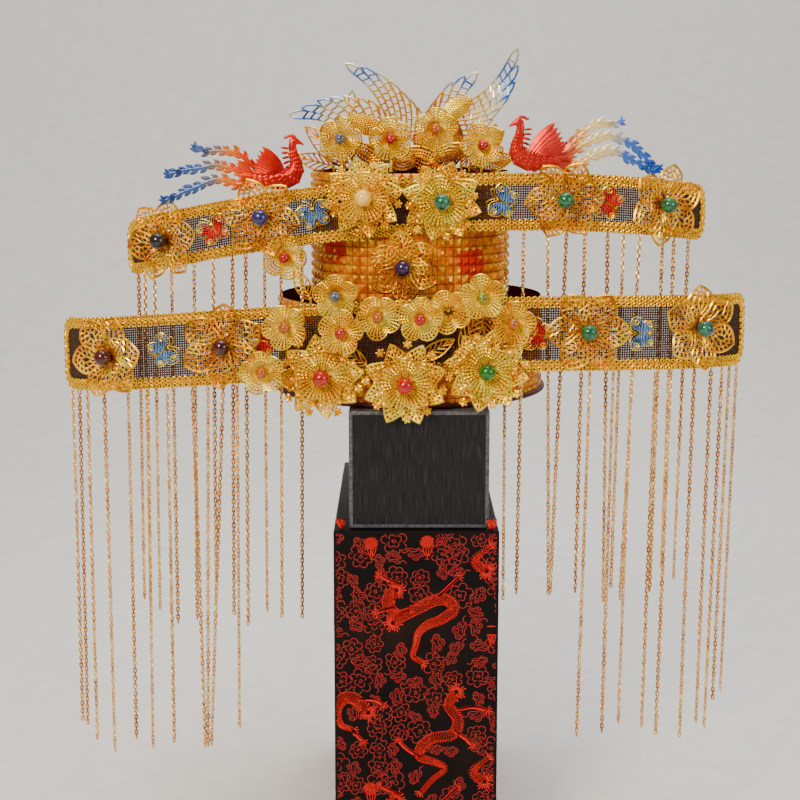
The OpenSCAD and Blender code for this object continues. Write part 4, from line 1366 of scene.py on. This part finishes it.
def phoenix(plumes, wing_l):
    """A phoenix from its foot at the origin, its head to +X; every part in millimetres."""
    b = BIRD_L
    line = [(x * b, 0, z * b) for x, z, r in BACKBONE]
    body = wires([line], 1.0, sides=16, swell=[[r * b for x, z, r in BACKBONE]])
    scale_shape = vane(0.13 * b, 0.09 * b, 0.8, steps=4)
    scales = []
    for k in range(1, 8):
        for step in (0, 0.5):
            x, z, r = [p + (q - p) * step for p, q in zip(BACKBONE[k], BACKBONE[k + 1])]
            run = degrees(atan2(BACKBONE[k + 1][1] - BACKBONE[k][1],
                                BACKBONE[k + 1][0] - BACKBONE[k][0]))
            across = radians(run + 90)
            for side in (-1, 1):
                for j in range(-2, 3):
                    off = 0.36 * (j + (0.5 if step else 0)) * r
                    out = sqrt(max(r * r - off * off, 0)) + 0.004
                    at = Vector(((x + off * cos(across)) * b, -side * out * b,
                                 (z + off * sin(across)) * b))
                    scales.append(moved(at) @ facing((0, 0, 0), 0, run + 180)
                                  @ stretched(1, 1, side))
    slim = stretched(1, SLIM, 1)
    parts = [body, array_of(scale_shape, scales)]
    for part in parts:
        part.transform(slim)
    parts.append(wires([[(0, 0, 0), (0, 0, 0.2 * b)]], 1.6, sides=8))
    feather = vane(1.0, 0.24, 0.07, bend=0.1)
    for side in (-1, 1):
        feathers = []
        for layer, (count, size, spread) in enumerate(((8, wing_l, 42), (6, 0.6 * wing_l, 36))):
            for i in range(count):
                k = i / (count - 1)
                at = ((0.14 - 0.3 * k) * b, side * (0.1 + 0.03 * layer) * b, (0.4 - 0.06 * k) * b)
                place = (facing(at, 0, 125 + spread * k) @ turned("X", side * 5)
                         @ turned("Y", -side * (4 + 3 * layer)))
                feathers.append(place @ grown(size * b * (1 - 0.42 * k)))
        parts.append(array_of(feather, feathers))
    tail = [facing(((-0.25 - 0.04 * i) * b, (0.03 * (i % 3) - 0.05) * b, (0.22 + 0.02 * i) * b),
                   0, 196 - 9 * i) @ grown(b * (0.62 - 0.02 * i)) for i in range(8)]
    parts.append(array_of(feather, tail))
    hackles = [facing(((0.3 - 0.012 * i) * b, 0, (0.56 + 0.085 * i) * b), 0, 205 - 10 * i)
               @ grown(b * 0.2) for i in range(5)]
    hackles.append(facing((0.37 * b, 0, 0.98 * b), 0, -75) @ grown(0.13 * b))
    parts.append(array_of(vane(1.0, 0.3, 0.14, bend=0.12), hackles))
    crest = smooth_line(((0.38, 1.1), (0.33, 1.17), (0.24, 1.17), (0.17, 1.13), (0.14, 1.16)))
    parts.append(wires([[(x * b, 0, z * b) for x, z in crest]], 1.0, sides=6,
                       swell=[np.linspace(2.0, 0.5, len(crest))]))
    eyes = [moved((0.36 * b, side * 0.055 * b, 1.07 * b)) for side in (-1, 1)]
    parts.append(array_of(round_grain(0.03 * b), eyes))
    for i, points in enumerate(plumes):
        parts += flame_plume(points, 1.2 * i - 1.2)
    return joined(parts)


def make_phoenix(share, plumes, wing_l, mirrored, node, stops, far_mm):
    foot = Vector(on_band(UPPER, share, BAND_H[UPPER], 0))
    mesh = phoenix(plumes, wing_l)
    if mirrored:
        mesh.transform(stretched(-1, 1, 1))
        mesh.flip_normals()
    mesh.transform(moved(foot))
    at = foot + Vector(((-10 if mirrored else 10), 0, 0.4 * BIRD_L))
    finish = lacquered_finish("enamel_of_" + node, at, stops, 10, far_mm, 0.36, 0.75, 9, 0.22)
    return finished(node + "_enamelled", mesh, [finish], [node])


make_phoenix(PERCH_LEFT, LEFT_PLUMES, 0.73, False, "left_phoenix", (
    (0.0, "#A80C00"), (0.16, "#DC2000"), (0.3, "#E64600"), (0.42, "#D87A28"),
    (0.54, "#7E7470"), (0.66, "#4E68A0"), (1.0, "#2E4C90")), 100)
make_phoenix(PERCH_RIGHT, RIGHT_PLUMES, 0.89, True, "right_phoenix", (
    (0.0, "#C02410"), (0.12, "#C42824"), (0.24, "#CC4038"), (0.34, "#F0B060"),
    (0.42, "#F6DC94"), (0.56, "#EAD9A0"), (0.66, "#4E7CD0"), (1.0, "#2450B0")), 108)


# Leaves: skeleton leaves of wire and lattice leaves, in sprays on the cap and the lower band

LEAF_STEM = 4


def skeleton_leaf(length, width, veins=6):
    """Lines of a leaf: its edge, a midrib and slanting veins."""
    edge = oval_edge(lambda q: half_width(q, width, 0.85, 0.8), length, 12)

    def at(x, y):
        return (x, y, 0.1 * width * sin(pi * x / length))

    lines = [[at(x, y) for x, y in np.vstack([edge, edge[:1]])], [at(0, 0), at(length, 0)]]
    for i in range(veins):
        q = (i + 0.6) / (veins + 1)
        tip = min(q + 0.22, 0.97)
        half = half_width(tip, width, 0.85, 0.8)
        for side in (-1, 1):
            lines.append([at(q * length, 0), at((q + 0.13) * length, side * half * 0.5),
                          at(tip * length, side * half)])
    return lines


def lattice_leaf(length, width):
    """A broad leaf of filigree: a rim round rows of holes that meet at a midrib."""
    edge = oval_edge(lambda q: half_width(q, width, 0.85, 0.75), length, 13)
    centre = np.array((0.48 * length, 0))
    loops = [edge, scaled_loop(edge, centre, 0.74, 0.68), scaled_loop(edge, centre, 0.48, 0.38),
             scaled_loop(edge, centre, 0.3, 0.08)]
    return lattice(loops, [30, 22, 14], 0.6, lambda x, y: 0.12 * width * np.sin(
        pi * np.clip(x / length, 0, 1)) - 0.05 * y * y)


# Columns: right of the cap's axis, behind it, angle, length, width
TOP_LEAVES_LEFT = ((-44, -38, 140, 46, 17), (-26, -38, 60, 30, 13))
TOP_LEAVES_RIGHT = ((20, -38, 125, 30, 13), (38, -38, 40, 42, 16))
LEFT_SPRAY = ((-50, -40, 118, 34, 14), (-40, -42, 30, 40, 17), (-20, -44, 150, 36, 16),
              (-12, -40, 96, 30, 13), (-58, -36, 165, 30, 12), (-14, -46, 22, 26, 13))
RIGHT_SPRAY = ((30, -42, 84, 34, 16), (24, -46, 158, 34, 16), (44, -44, 12, 34, 16),
               (6, -42, 70, 28, 13), (50, -38, 66, 34, 14), (14, -46, 34, 30, 15))
FRONT_LEAVES = ((0.15, 20, 60, 34, 12), (0.24, 22, 100, 30, 11))
FRONT_SPRAY = ((0.13, 14, 20, 34, 11), (0.27, 16, 36, 30, 10), (-0.1, 10, 152, 34, 12),
               (0.04, 12, 30, 30, 11), (-0.28, 26, 128, 26, 9), (0.19, 18, 84, 40, 11))
FRONT_LEAF_OUT = 4
LEAF_WIRE = 0.62


def leaf_place(row):
    foot = Vector((CAP_X + row[0], row[1], CAP_TOP + LEAF_STEM))
    return facing(foot, 0, row[2]), row[3], row[4]


def front_leaf_place(row, out=FRONT_LEAF_OUT):
    return facing(on_band(LOWER, row[0], row[1], out), 0, row[2]), row[3], row[4]


def wire_leaf(place, length, width):
    return wires([carried(place, line) for line in skeleton_leaf(length, width)], LEAF_WIRE)


def filled_leaf(place, length, width):
    mesh = lattice_leaf(length, width)
    mesh.transform(place)
    return mesh


def stem_of(row):
    x, y = CAP_X + row[0], row[1]
    return [(x, y, CAP_TOP), (x, y, CAP_TOP + LEAF_STEM + 1)]


small_leaf_foot = on_band(LOWER, -0.25, BAND_H[LOWER], 0)
small_leaf = (facing(small_leaf_foot + (0, 0, LEAF_STEM - 1), 0, 118), 24, 11)
parts = [wire_leaf(*leaf_place(TOP_LEAVES_LEFT[0])), wire_leaf(*small_leaf),
         filled_leaf(*leaf_place(TOP_LEAVES_LEFT[1])),
         wires([stem_of(row) for row in TOP_LEAVES_LEFT + LEFT_SPRAY]
               + [[small_leaf_foot, small_leaf_foot + (0, 0, LEAF_STEM)]], 1.0, sides=6)]
parts += [filled_leaf(*leaf_place(row)) for row in LEFT_SPRAY[1:4] + LEFT_SPRAY[5:]]
parts += [wire_leaf(*leaf_place(row)) for row in (LEFT_SPRAY[0], LEFT_SPRAY[4])]
finished("left_leaf_spray", joined(parts), [GILT], ["left_leaves"])
parts = [filled_leaf(*leaf_place(row)) for row in TOP_LEAVES_RIGHT + RIGHT_SPRAY]
parts.append(wires([stem_of(row) for row in TOP_LEAVES_RIGHT + RIGHT_SPRAY], 1.0, sides=6))
parts += [wire_leaf(*front_leaf_place(row)) for row in FRONT_LEAVES]
parts += [wire_leaf(*front_leaf_place(row, 3)) for row in FRONT_SPRAY]
for row in FRONT_LEAVES:
    pin = facing(on_band(LOWER, row[0], row[1], FRONT_LEAF_OUT))
    parts.append(array_of(stem_shape, [pin @ stretched(1, 1, FRONT_LEAF_OUT)]))
finished("right_leaf_spray", joined(parts), [GILT], ["right_leaves"])


# Butterflies: enamelled wings inside gold wire, with curls and feelers

BUTTERFLY_R = 14.5
BLUE_BUTTERFLIES = ((UPPER, -0.323, 21.5, 20), (LOWER, -0.66, 28, -60),
                    (UPPER, 0.279, 21.5, 70), (LOWER, 0.648, 28, 90))
RED_BUTTERFLIES = ((UPPER, -0.65, 21.5, 30), (LOWER, -0.378, 31, 80),
                   (UPPER, 0.619, 21.5, 60), (LOWER, 0.36, 28, 75))


def enamel_finish(name, dark, light):
    """Stencilled enamel: a bright glaze crossed by fine dark stripes that fan out."""
    material, tree, place = new_finish(name, Roughness=0.3, Coat_Weight=0.6,
                                       Coat_Roughness=0.1)
    wave = add(tree, "TexWave", {"Vector": place, "Scale": 170, "Distortion": 4.0,
                                 "Detail": 2.0, "Detail Scale": 1.5}, out="Fac")
    add(tree, "ValToRGB", {"Fac": wave}, ((0.2, dark), (0.5, light)), to="Base Color")
    bump(tree, wave, 0.2)
    return material


def spiral(x, y, radius, turns, start):
    line = []
    for i in range(int(turns * 10) + 1):
        a = start + 2 * pi * i / 10
        r = radius * (1 - 0.75 * i / (turns * 10))
        line.append((x + r * cos(a), y + r * sin(a), 0.5))
    return line


def butterfly():
    """A butterfly that lies in the XY plane, its body along Y: enamel and gold."""
    r = BUTTERFLY_R
    lines, ribs, panes = [], [], []
    for side in (-1, 1):
        for tilt, length, width in ((33, r, 0.78 * r), (-38, 0.8 * r, 0.6 * r)):
            angle = tilt if side > 0 else 180 - tilt
            edge = oval_edge(lambda q, w=width: half_width(q, w, 1.2, 0.7), length, 8)
            stand = turned("Z", angle) @ turned("Y", -12)
            lines.append(carried(stand, [(x, y, 0) for x, y in np.vstack([edge, edge[:1]])]))
            panes.append(stand @ stretched(0.66 * length, 0.62 * width, 1))
            for lean in (-0.52, -0.28, 0, 0.28, 0.52):
                rib = smooth_line([(0.1 * length, 0.1 * lean * width, 0.9),
                                   (0.5 * length, 0.6 * lean * width, 1.2),
                                   (0.88 * length, 0.5 * lean * width, 0.7)], 3)
                ribs.append(carried(stand, rib))
            curl = spiral(0.72 * length, 0, 0.17 * width + 0.8, 1.4, 0.5 * side)
            lines.append(carried(stand, curl, 1))
        lines.append([(0, 0.5 * r, 0.6), (side * 0.16 * r, 0.75 * r, 0.9),
                      (side * 0.34 * r, 0.86 * r, 0.9), (side * 0.46 * r, 0.76 * r, 0.9),
                      (side * 0.38 * r, 0.7 * r, 0.9)])
    body = array_of(vane(1.2 * r, 0.24 * r, 2.4), [moved((0, -0.65 * r, 0.3))
                                                   @ turned("Z", 90)])
    pane = vane(1.0, 1.0, 0.9, steps=7)
    return [(array_of(pane, panes), 2), (wires(ribs, 0.5), 0),
            (joined([wires(lines, 0.42), body]), 1)]


def make_butterflies(table, name, node, finish, ground):
    flat = joined(butterfly())
    places = [on_band_facing(t, share, up, NET_T / 2 + 0.7, roll) for t, share, up, roll in table]
    return finished(name, array_of(flat, places), [finish, PALE_GILT, ground], [node])


make_butterflies(BLUE_BUTTERFLIES, "blue_enamel_butterflies", "blue_butterflies",
                 enamel_finish("striped_blue_enamel", "#24406E", "#6A94CC"),
                 thread_finish("midnight_enamel", "#04060C", "#101A30", 0.4))
make_butterflies(RED_BUTTERFLIES, "red_enamel_butterflies", "red_butterflies",
                 enamel_finish("striped_red_enamel", "#A00A04", "#E02010"),
                 thread_finish("dark_red_enamel", "#2C0202", "#6A0A06", 0.4))


# The rim's binding: a sewn roll of maroon cloth

RIM_ROLL_R = 2
rim_finish = thread_finish("maroon_binding", "#2A0606", "#5E1410", 0.55, strand_mm=0.9)
ring_r = RIM_R + SEAT + RIM_ROLL_R
rim_turn = np.linspace(0, 2 * pi, 360, endpoint=False)
rim_line = np.stack([CAP_X + ring_r * np.cos(rim_turn), ring_r * np.sin(rim_turn),
                     np.full(360, RIM_Z + RIM_ROLL_R)], -1)
finished("sewn_rim_binding", wires([rim_line], RIM_ROLL_R, closed=True, sides=10,
                                   swell=[1 - 0.08 * (np.arange(360) % 3 == 0)]),
         [rim_finish], ["cap_rim"])


# The stand: a grained block on a column covered in brocade


def block_finish():
    """Embossed board: deep upright grain in charcoal, scuffed pale along its lower edge."""
    material, tree, place = new_finish("charcoal_grained_board", Specular_IOR_Level=0.25)
    fibres = add(tree, "Mapping", {"Vector": place, "Scale": (2100, 2100, 55)})
    grain = add(tree, "TexNoise", {"Vector": fibres, "Scale": 1, "Detail": 4.0})
    tone = add(tree, "ValToRGB", {"Fac": grain},
               ((0.38, "#08080A"), (0.56, "#1A1A1D"), (0.78, "#3E3E42")))
    scuffs = add(tree, "TexNoise", {"Vector": place, "Scale": 130, "Detail": 6.0})
    height = add(tree, "SeparateXYZ", {"Vector": place}, out="Z")
    low = add(tree, "MapRange", {
        "Value": height, "From Min": block_low.z * MM, "From Max": (block_low.z + 4) * MM,
        "To Min": 0.2, "To Max": -0.1})
    worn = add(tree, "Math", {0: scuffs, 1: low}, operation="ADD")
    mask = add(tree, "MapRange", {"Value": worn, "From Min": 0.66, "From Max": 0.76})
    add(tree, "Mix", {"Factor": mask, "A": tone, "B": "#7E7A72"}, to="Base Color",
        data_type="RGBA")
    add(tree, "MapRange", {"Value": grain, "To Min": 0.35, "To Max": 0.6}, to="Roughness")
    bump(tree, grain, 0.5)
    return material


def bevelled_box(low, high, bevel):
    """A box with rounded edges, its corners read from the frame."""
    bm = bmesh.new()
    bmesh.ops.create_cube(bm, size=1)
    bmesh.ops.scale(bm, verts=bm.verts, vec=high - low)
    bmesh.ops.translate(bm, verts=bm.verts, vec=(low + high) / 2)
    bmesh.ops.bevel(bm, geom=bm.edges, offset=bevel, segments=3, profile=0.5, affect="EDGES")
    return bm


bm = bevelled_box(block_low, block_high, 1.2)
sides = [f for f in bm.faces if abs(f.normal.z) < 0.1 and f.calc_area() > 2000]
bmesh.ops.inset_individual(bm, faces=sides, thickness=2.0, depth=0)
bmesh.ops.inset_individual(bm, faces=sides, thickness=0.4, depth=-0.5)
plain_board = thread_finish("smooth_grey_board", "#3C3C40", "#5E5E64", 0.45, strand_mm=3)
for face in bm.faces:
    face.material_index = 0 if face in sides else 1
finished("grained_block", mesh_of(bm), [block_finish(), plain_board],
         ["display_block"])


def satin_finish():
    """Near-black satin: a fine rib of crossing threads with a dull warm gloss, browner in soft
    clouds that are a painted warm sheen."""
    material, tree, place = new_finish("black_satin", Roughness=0.5, Specular_IOR_Level=0.12)
    # The browner clouds are a painted warm sheen on the black
    clouded(tree, place, 22, ((0.4, "#070405"), (0.6, "#120806"), (0.8, "#22110A")))
    rib = add(tree, "TexWave", {"Vector": place, "Scale": 700}, out="Fac",
              bands_direction="DIAGONAL")
    bump(tree, rib, 0.08)
    return material


FINE = 0.62
SATIN, DULL, BRIGHT = range(3)


def coil(x, y, radius, turns, start):
    """A spiral thread that winds in to its middle."""
    a = np.linspace(0, 2 * pi * turns, int(9 * abs(turns)) + 2)
    r = radius * (1 - 0.8 * a / a[-1])
    return np.stack([x + r * np.cos(start + a), y + r * np.sin(start + a)], -1)


def swung(way, turn):
    """A way in the plane, swung by an angle."""
    c, s = cos(turn), sin(turn)
    return np.array((way[0] * c - way[1] * s, way[0] * s + way[1] * c))


def woven_dragon(spine, legs, half):
    """Strokes of a dragon: scales in rows, a ragged back, clawed legs, a mane and a tail."""
    line = smooth_line(spine, 9)
    way, side = ways_of(line)
    q = np.linspace(0, 1, len(line))
    wide = (half * (0.55 + 0.45 * np.sin(pi * np.clip(1.25 * q, 0, 1)))
            * (1 - 0.6 * q))[:, None]
    strokes = [(line + side * wide, FINE), (line - side * wide, FINE)]
    for i in range(2, len(line) - 1):
        for j in range(-2, 3):
            spot = line[i] + side[i] * wide[i] * 0.4 * (j + 0.5 * (i % 2) - 0.25)
            strokes.append((np.array([spot - 0.55 * way[i], spot + 0.35 * way[i]]), 0.95))
        back = line[i] + side[i] * wide[i]
        strokes.append((np.array([back, back + 1.7 * side[i] + 1.3 * way[i]]), 0.8))
    for hip, knee, foot in legs:
        leg = smooth_line((hip, knee, foot), 5)
        strokes += [(leg, 2.4), (leg + (0.9, 0.6), 1.2)]
        out = atan2(foot[1] - knee[1], foot[0] - knee[0])
        for turn in (-1.5, -0.8, -0.2, 0.45, 1.1):
            tip = np.array(foot) + 4.2 * np.array((cos(out + turn), sin(out + turn)))
            strokes.append((np.array([foot, tip]), 1.1))
    head, nose = line[0], -way[0]
    for turn in np.linspace(-2.4, 2.4, 17):
        ray = swung(nose, turn)
        size = 4.5 + 3.5 * abs(sin(3.1 * turn))
        strokes.append((np.array([head + 0.8 * ray, head + size * ray]), 1.35))
    for turn in (-0.9, -0.45, 0, 0.45, 0.9):
        strokes.append((np.array([line[-1], line[-1] + 5 * swung(way[-1], turn)]), 1.3))
    return strokes


def woven_flower(x, y, size, turn):
    """Strokes of a flower: two uneven rounds of open petals about a curl."""
    strokes = [(coil(x, y, 0.2 * size, 1.2, turn), FINE)]
    for count, away, r in ((4, 0.36, 0.22), (7, 0.74, 0.3)):
        for i in range(count):
            a = turn + 2 * pi * (i + spare.uniform(-0.15, 0.15)) / count
            far = away * size * spare.uniform(0.85, 1.15)
            wide = r * size * spare.uniform(0.85, 1.25)
            arc = a + np.linspace(-1.9, 1.9, 8)
            strokes.append((np.stack([x + far * cos(a) + wide * np.cos(arc),
                                      y + far * sin(a) + wide * np.sin(arc)], -1), FINE))
    return strokes


def woven_cloud(x, y, size, turn):
    """Strokes of a cloud: curls side by side over a wavy tail."""
    c, s = cos(turn), sin(turn)
    spin = np.array(((c, s), (-s, c)))
    lines = [coil(-0.55, 0, 0.42, 1.5, 0.4), coil(0.15, 0.3, 0.5, 1.6, 0),
             coil(0.75, -0.1, 0.36, 1.4, -0.6),
             smooth_line(((-0.95, -0.1), (-0.4, -0.5), (0.3, -0.35), (0.9, -0.6), (1.5, -0.4),
                          (1.9, -0.7))),
             smooth_line(((-0.5, -0.75), (0.1, -0.62), (0.7, -0.85), (1.2, -0.72)))]
    return [(np.array((x, y)) + size * line @ spin, FINE) for line in lines]


def woven_pearl(x, y, size):
    """Strokes of a flaming pearl: a ragged solid round with a thin tassel below."""
    rows = []
    for h in np.linspace(-0.9, 0.9, 12):
        reach = size * sqrt(1 - h * h)
        rows.append((np.array([(x - reach * spare.uniform(0.9, 1.35), y + size * h),
                               (x + reach * spare.uniform(0.9, 1.35), y + size * h)]),
                     0.17 * size))
    rows += [(smooth_line(((x + d * size, y - 0.8 * size), (x + 0.6 * d * size, y - 1.8 * size),
                           (x + spare.uniform(-0.4, 0.4) * size, y - 2.8 * size))), FINE)
             for d in (-0.7, -0.2, 0.3, 0.8)]
    return rows


# Chosen points in millimetres: right of the face's middle, under the column's top
DRAGONS = (
    (((-17, -70), (-7, -64), (4, -58), (14, -53), (23, -53), (27, -60), (18, -67), (8, -71),
      (1, -78), (-1, -87), (-3, -96), (4, -101)),
     (((-10, -41), (-19, -38), (-27, -34)), ((15, -51), (24, -42), (31, -35)),
      ((-16, -58), (-24, -60), (-29, -62))), 4.6),
    (((-15, -45), (-20, -49), (-21, -57), (-14, -63), (-6, -61)), (), 5.0),
    (((30, -124), (24, -134), (31, -146), (27, -157), (12, -160), (3, -168), (3, -176),
      (14, -180), (21, -185), (12, -193), (4, -203)),
     (((4, -176), (-6, -170), (-13, -163)), ((31, -138), (42, -136), (53, -138)),
      ((27, -154), (36, -160), (42, -166))), 4.4),
    (((-36, -140), (-44, -130), (-54, -128), (-60, -138), (-57, -150), (-48, -154)),
     (((-44, -130), (-32, -130), (-25, -134)), ((-48, -154), (-43, -160), (-40, -163))), 4.8),
    (((52, -30), (44, -22), (54, -12)), (), 3.4))
DRAGON_REPEAT = 165
FACE_REPEAT = 124
PEARLS = ((-33, -9, 4.5), (8, -8, 4.8), (56, -76, 4.2), (-34, -201, 5), (40, -232, 4.6))
FILL_ACROSS, FILL_DOWN = 15, 13.5
FILL_CLEAR = 7.5
FACE_SHIFTS = (0, 22, -18, 9)
spare = random.Random(23)


def face_strokes(shift, wide):
    """Strokes of one face, moved sideways by a shift, and kept within a half width."""
    rounds = range(-1, 2) if wide > FACE_REPEAT / 2 + 5 else (0,)
    tall = column_high.z - column_low.z - 1.5
    bold, fine, taken = [], [], []
    for i in rounds:
        for lift in (0, -DRAGON_REPEAT):
            for spine, legs, half in DRAGONS:
                move = np.array((shift + FACE_REPEAT * i, lift))
                bold += woven_dragon(np.array(spine) + move,
                                     [np.array(leg) + move for leg in legs], half)
                taken += list(smooth_line(np.array(spine) + move, 3))
        for x, y, size in PEARLS:
            bold += woven_pearl(x + shift + FACE_REPEAT * i, y, size)
            taken.append(np.array((x + shift + FACE_REPEAT * i, y)))
    taken = np.array(taken)
    for y in np.arange(-6, -tall, -FILL_DOWN):
        for x in np.arange(-wide, wide + 8, FILL_ACROSS):
            spot = np.array((x + spare.uniform(-4, 4), y + spare.uniform(-3.5, 3.5)))
            turn = spare.uniform(0, 6.3)
            if np.linalg.norm(taken - spot, axis=1).min() < FILL_CLEAR:
                continue
            if spare.random() < 0.5:
                fine += woven_flower(*spot, spare.uniform(6.5, 9.5), turn)
            else:
                fine += woven_cloud(*spot, spare.uniform(4.8, 7), turn)
    for strokes, slot in ((fine, DULL), (bold, BRIGHT)):
        kept = []
        for line, width in strokes:
            inside = (np.abs(line[:, 0]) < wide) & (line[:, 1] < -1.5) & (line[:, 1] > -tall)
            for part in np.split(np.arange(len(line)), np.flatnonzero(np.diff(inside)) + 1):
                if inside[part[0]] and len(part) > 1:
                    kept.append((line[part], width))
        yield kept, slot


def ribbons(strokes):
    """Flat threads along strokes in the XY plane, each a little thinner at its ends."""
    bm = bmesh.new()
    for line, width in strokes:
        side = ways_of(line)[1] * width / 2
        taper = np.ones(len(line))
        taper[0] = taper[-1] = 0.6
        edges = [[bm.verts.new((*p, 0)) for p in line + flip * side * taper[:, None]]
                 for flip in (1, -1)]
        skin(bm, list(zip(*edges)), False)
    return mesh_of(bm)


column_middle = (column_low + column_high) / 2
bm = bevelled_box(column_low, column_high, 1.5)
cloth = [(mesh_of(bm), SATIN)]
THREAD_OUT = 0.12
half_size = (column_high - column_low).xy / 2
for quarter in range(4):
    wide, reach = half_size if quarter % 2 == 0 else half_size.yx
    stand = (moved((column_middle.x, column_middle.y, column_high.z))
             @ Matrix.Rotation(radians(90 * quarter), 4, "Z")
             @ facing((0, -reach - THREAD_OUT, 0)))
    for strokes, slot in face_strokes(FACE_SHIFTS[quarter], wide - 1.5):
        mesh = ribbons(strokes)
        mesh.transform(stand @ moved((0, 0, 0.03 * slot)))
        cloth.append((mesh, slot))
ends = []
for x in (column_low.x + 5.5, column_high.x - 5.5):
    for i in range(20):
        lean_x, lean_y = spare.uniform(-2.2, 2.2), spare.uniform(-2.5, 2.5)
        tall = spare.uniform(3, 8.5)
        foot = np.array((x, column_low.y + 6, column_high.z - 0.3))
        ends.append(smooth_line([foot, foot + (lean_x, lean_y, 0.5 * tall),
                                 foot + (1.6 * lean_x, 0.9 * lean_y, tall),
                                 foot + (2 * lean_x, lean_y, 0.75 * tall)], 4))
cloth.append((wires(ends, 0.45), BRIGHT))
finished("brocade_column", joined(cloth),
         [satin_finish(), thread_finish("dull_rose_thread", "#78100F", "#B42624", 0.5,
                                        strand_mm=0.7),
          thread_finish("scarlet_thread", "#B00600", "#E81800", 0.45, strand_mm=0.9)],
         ["display_column"])

size_lines = {"cad": [list(v) for v in (cad_low, cad_high)],
              "visual": [list(v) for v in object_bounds()]}
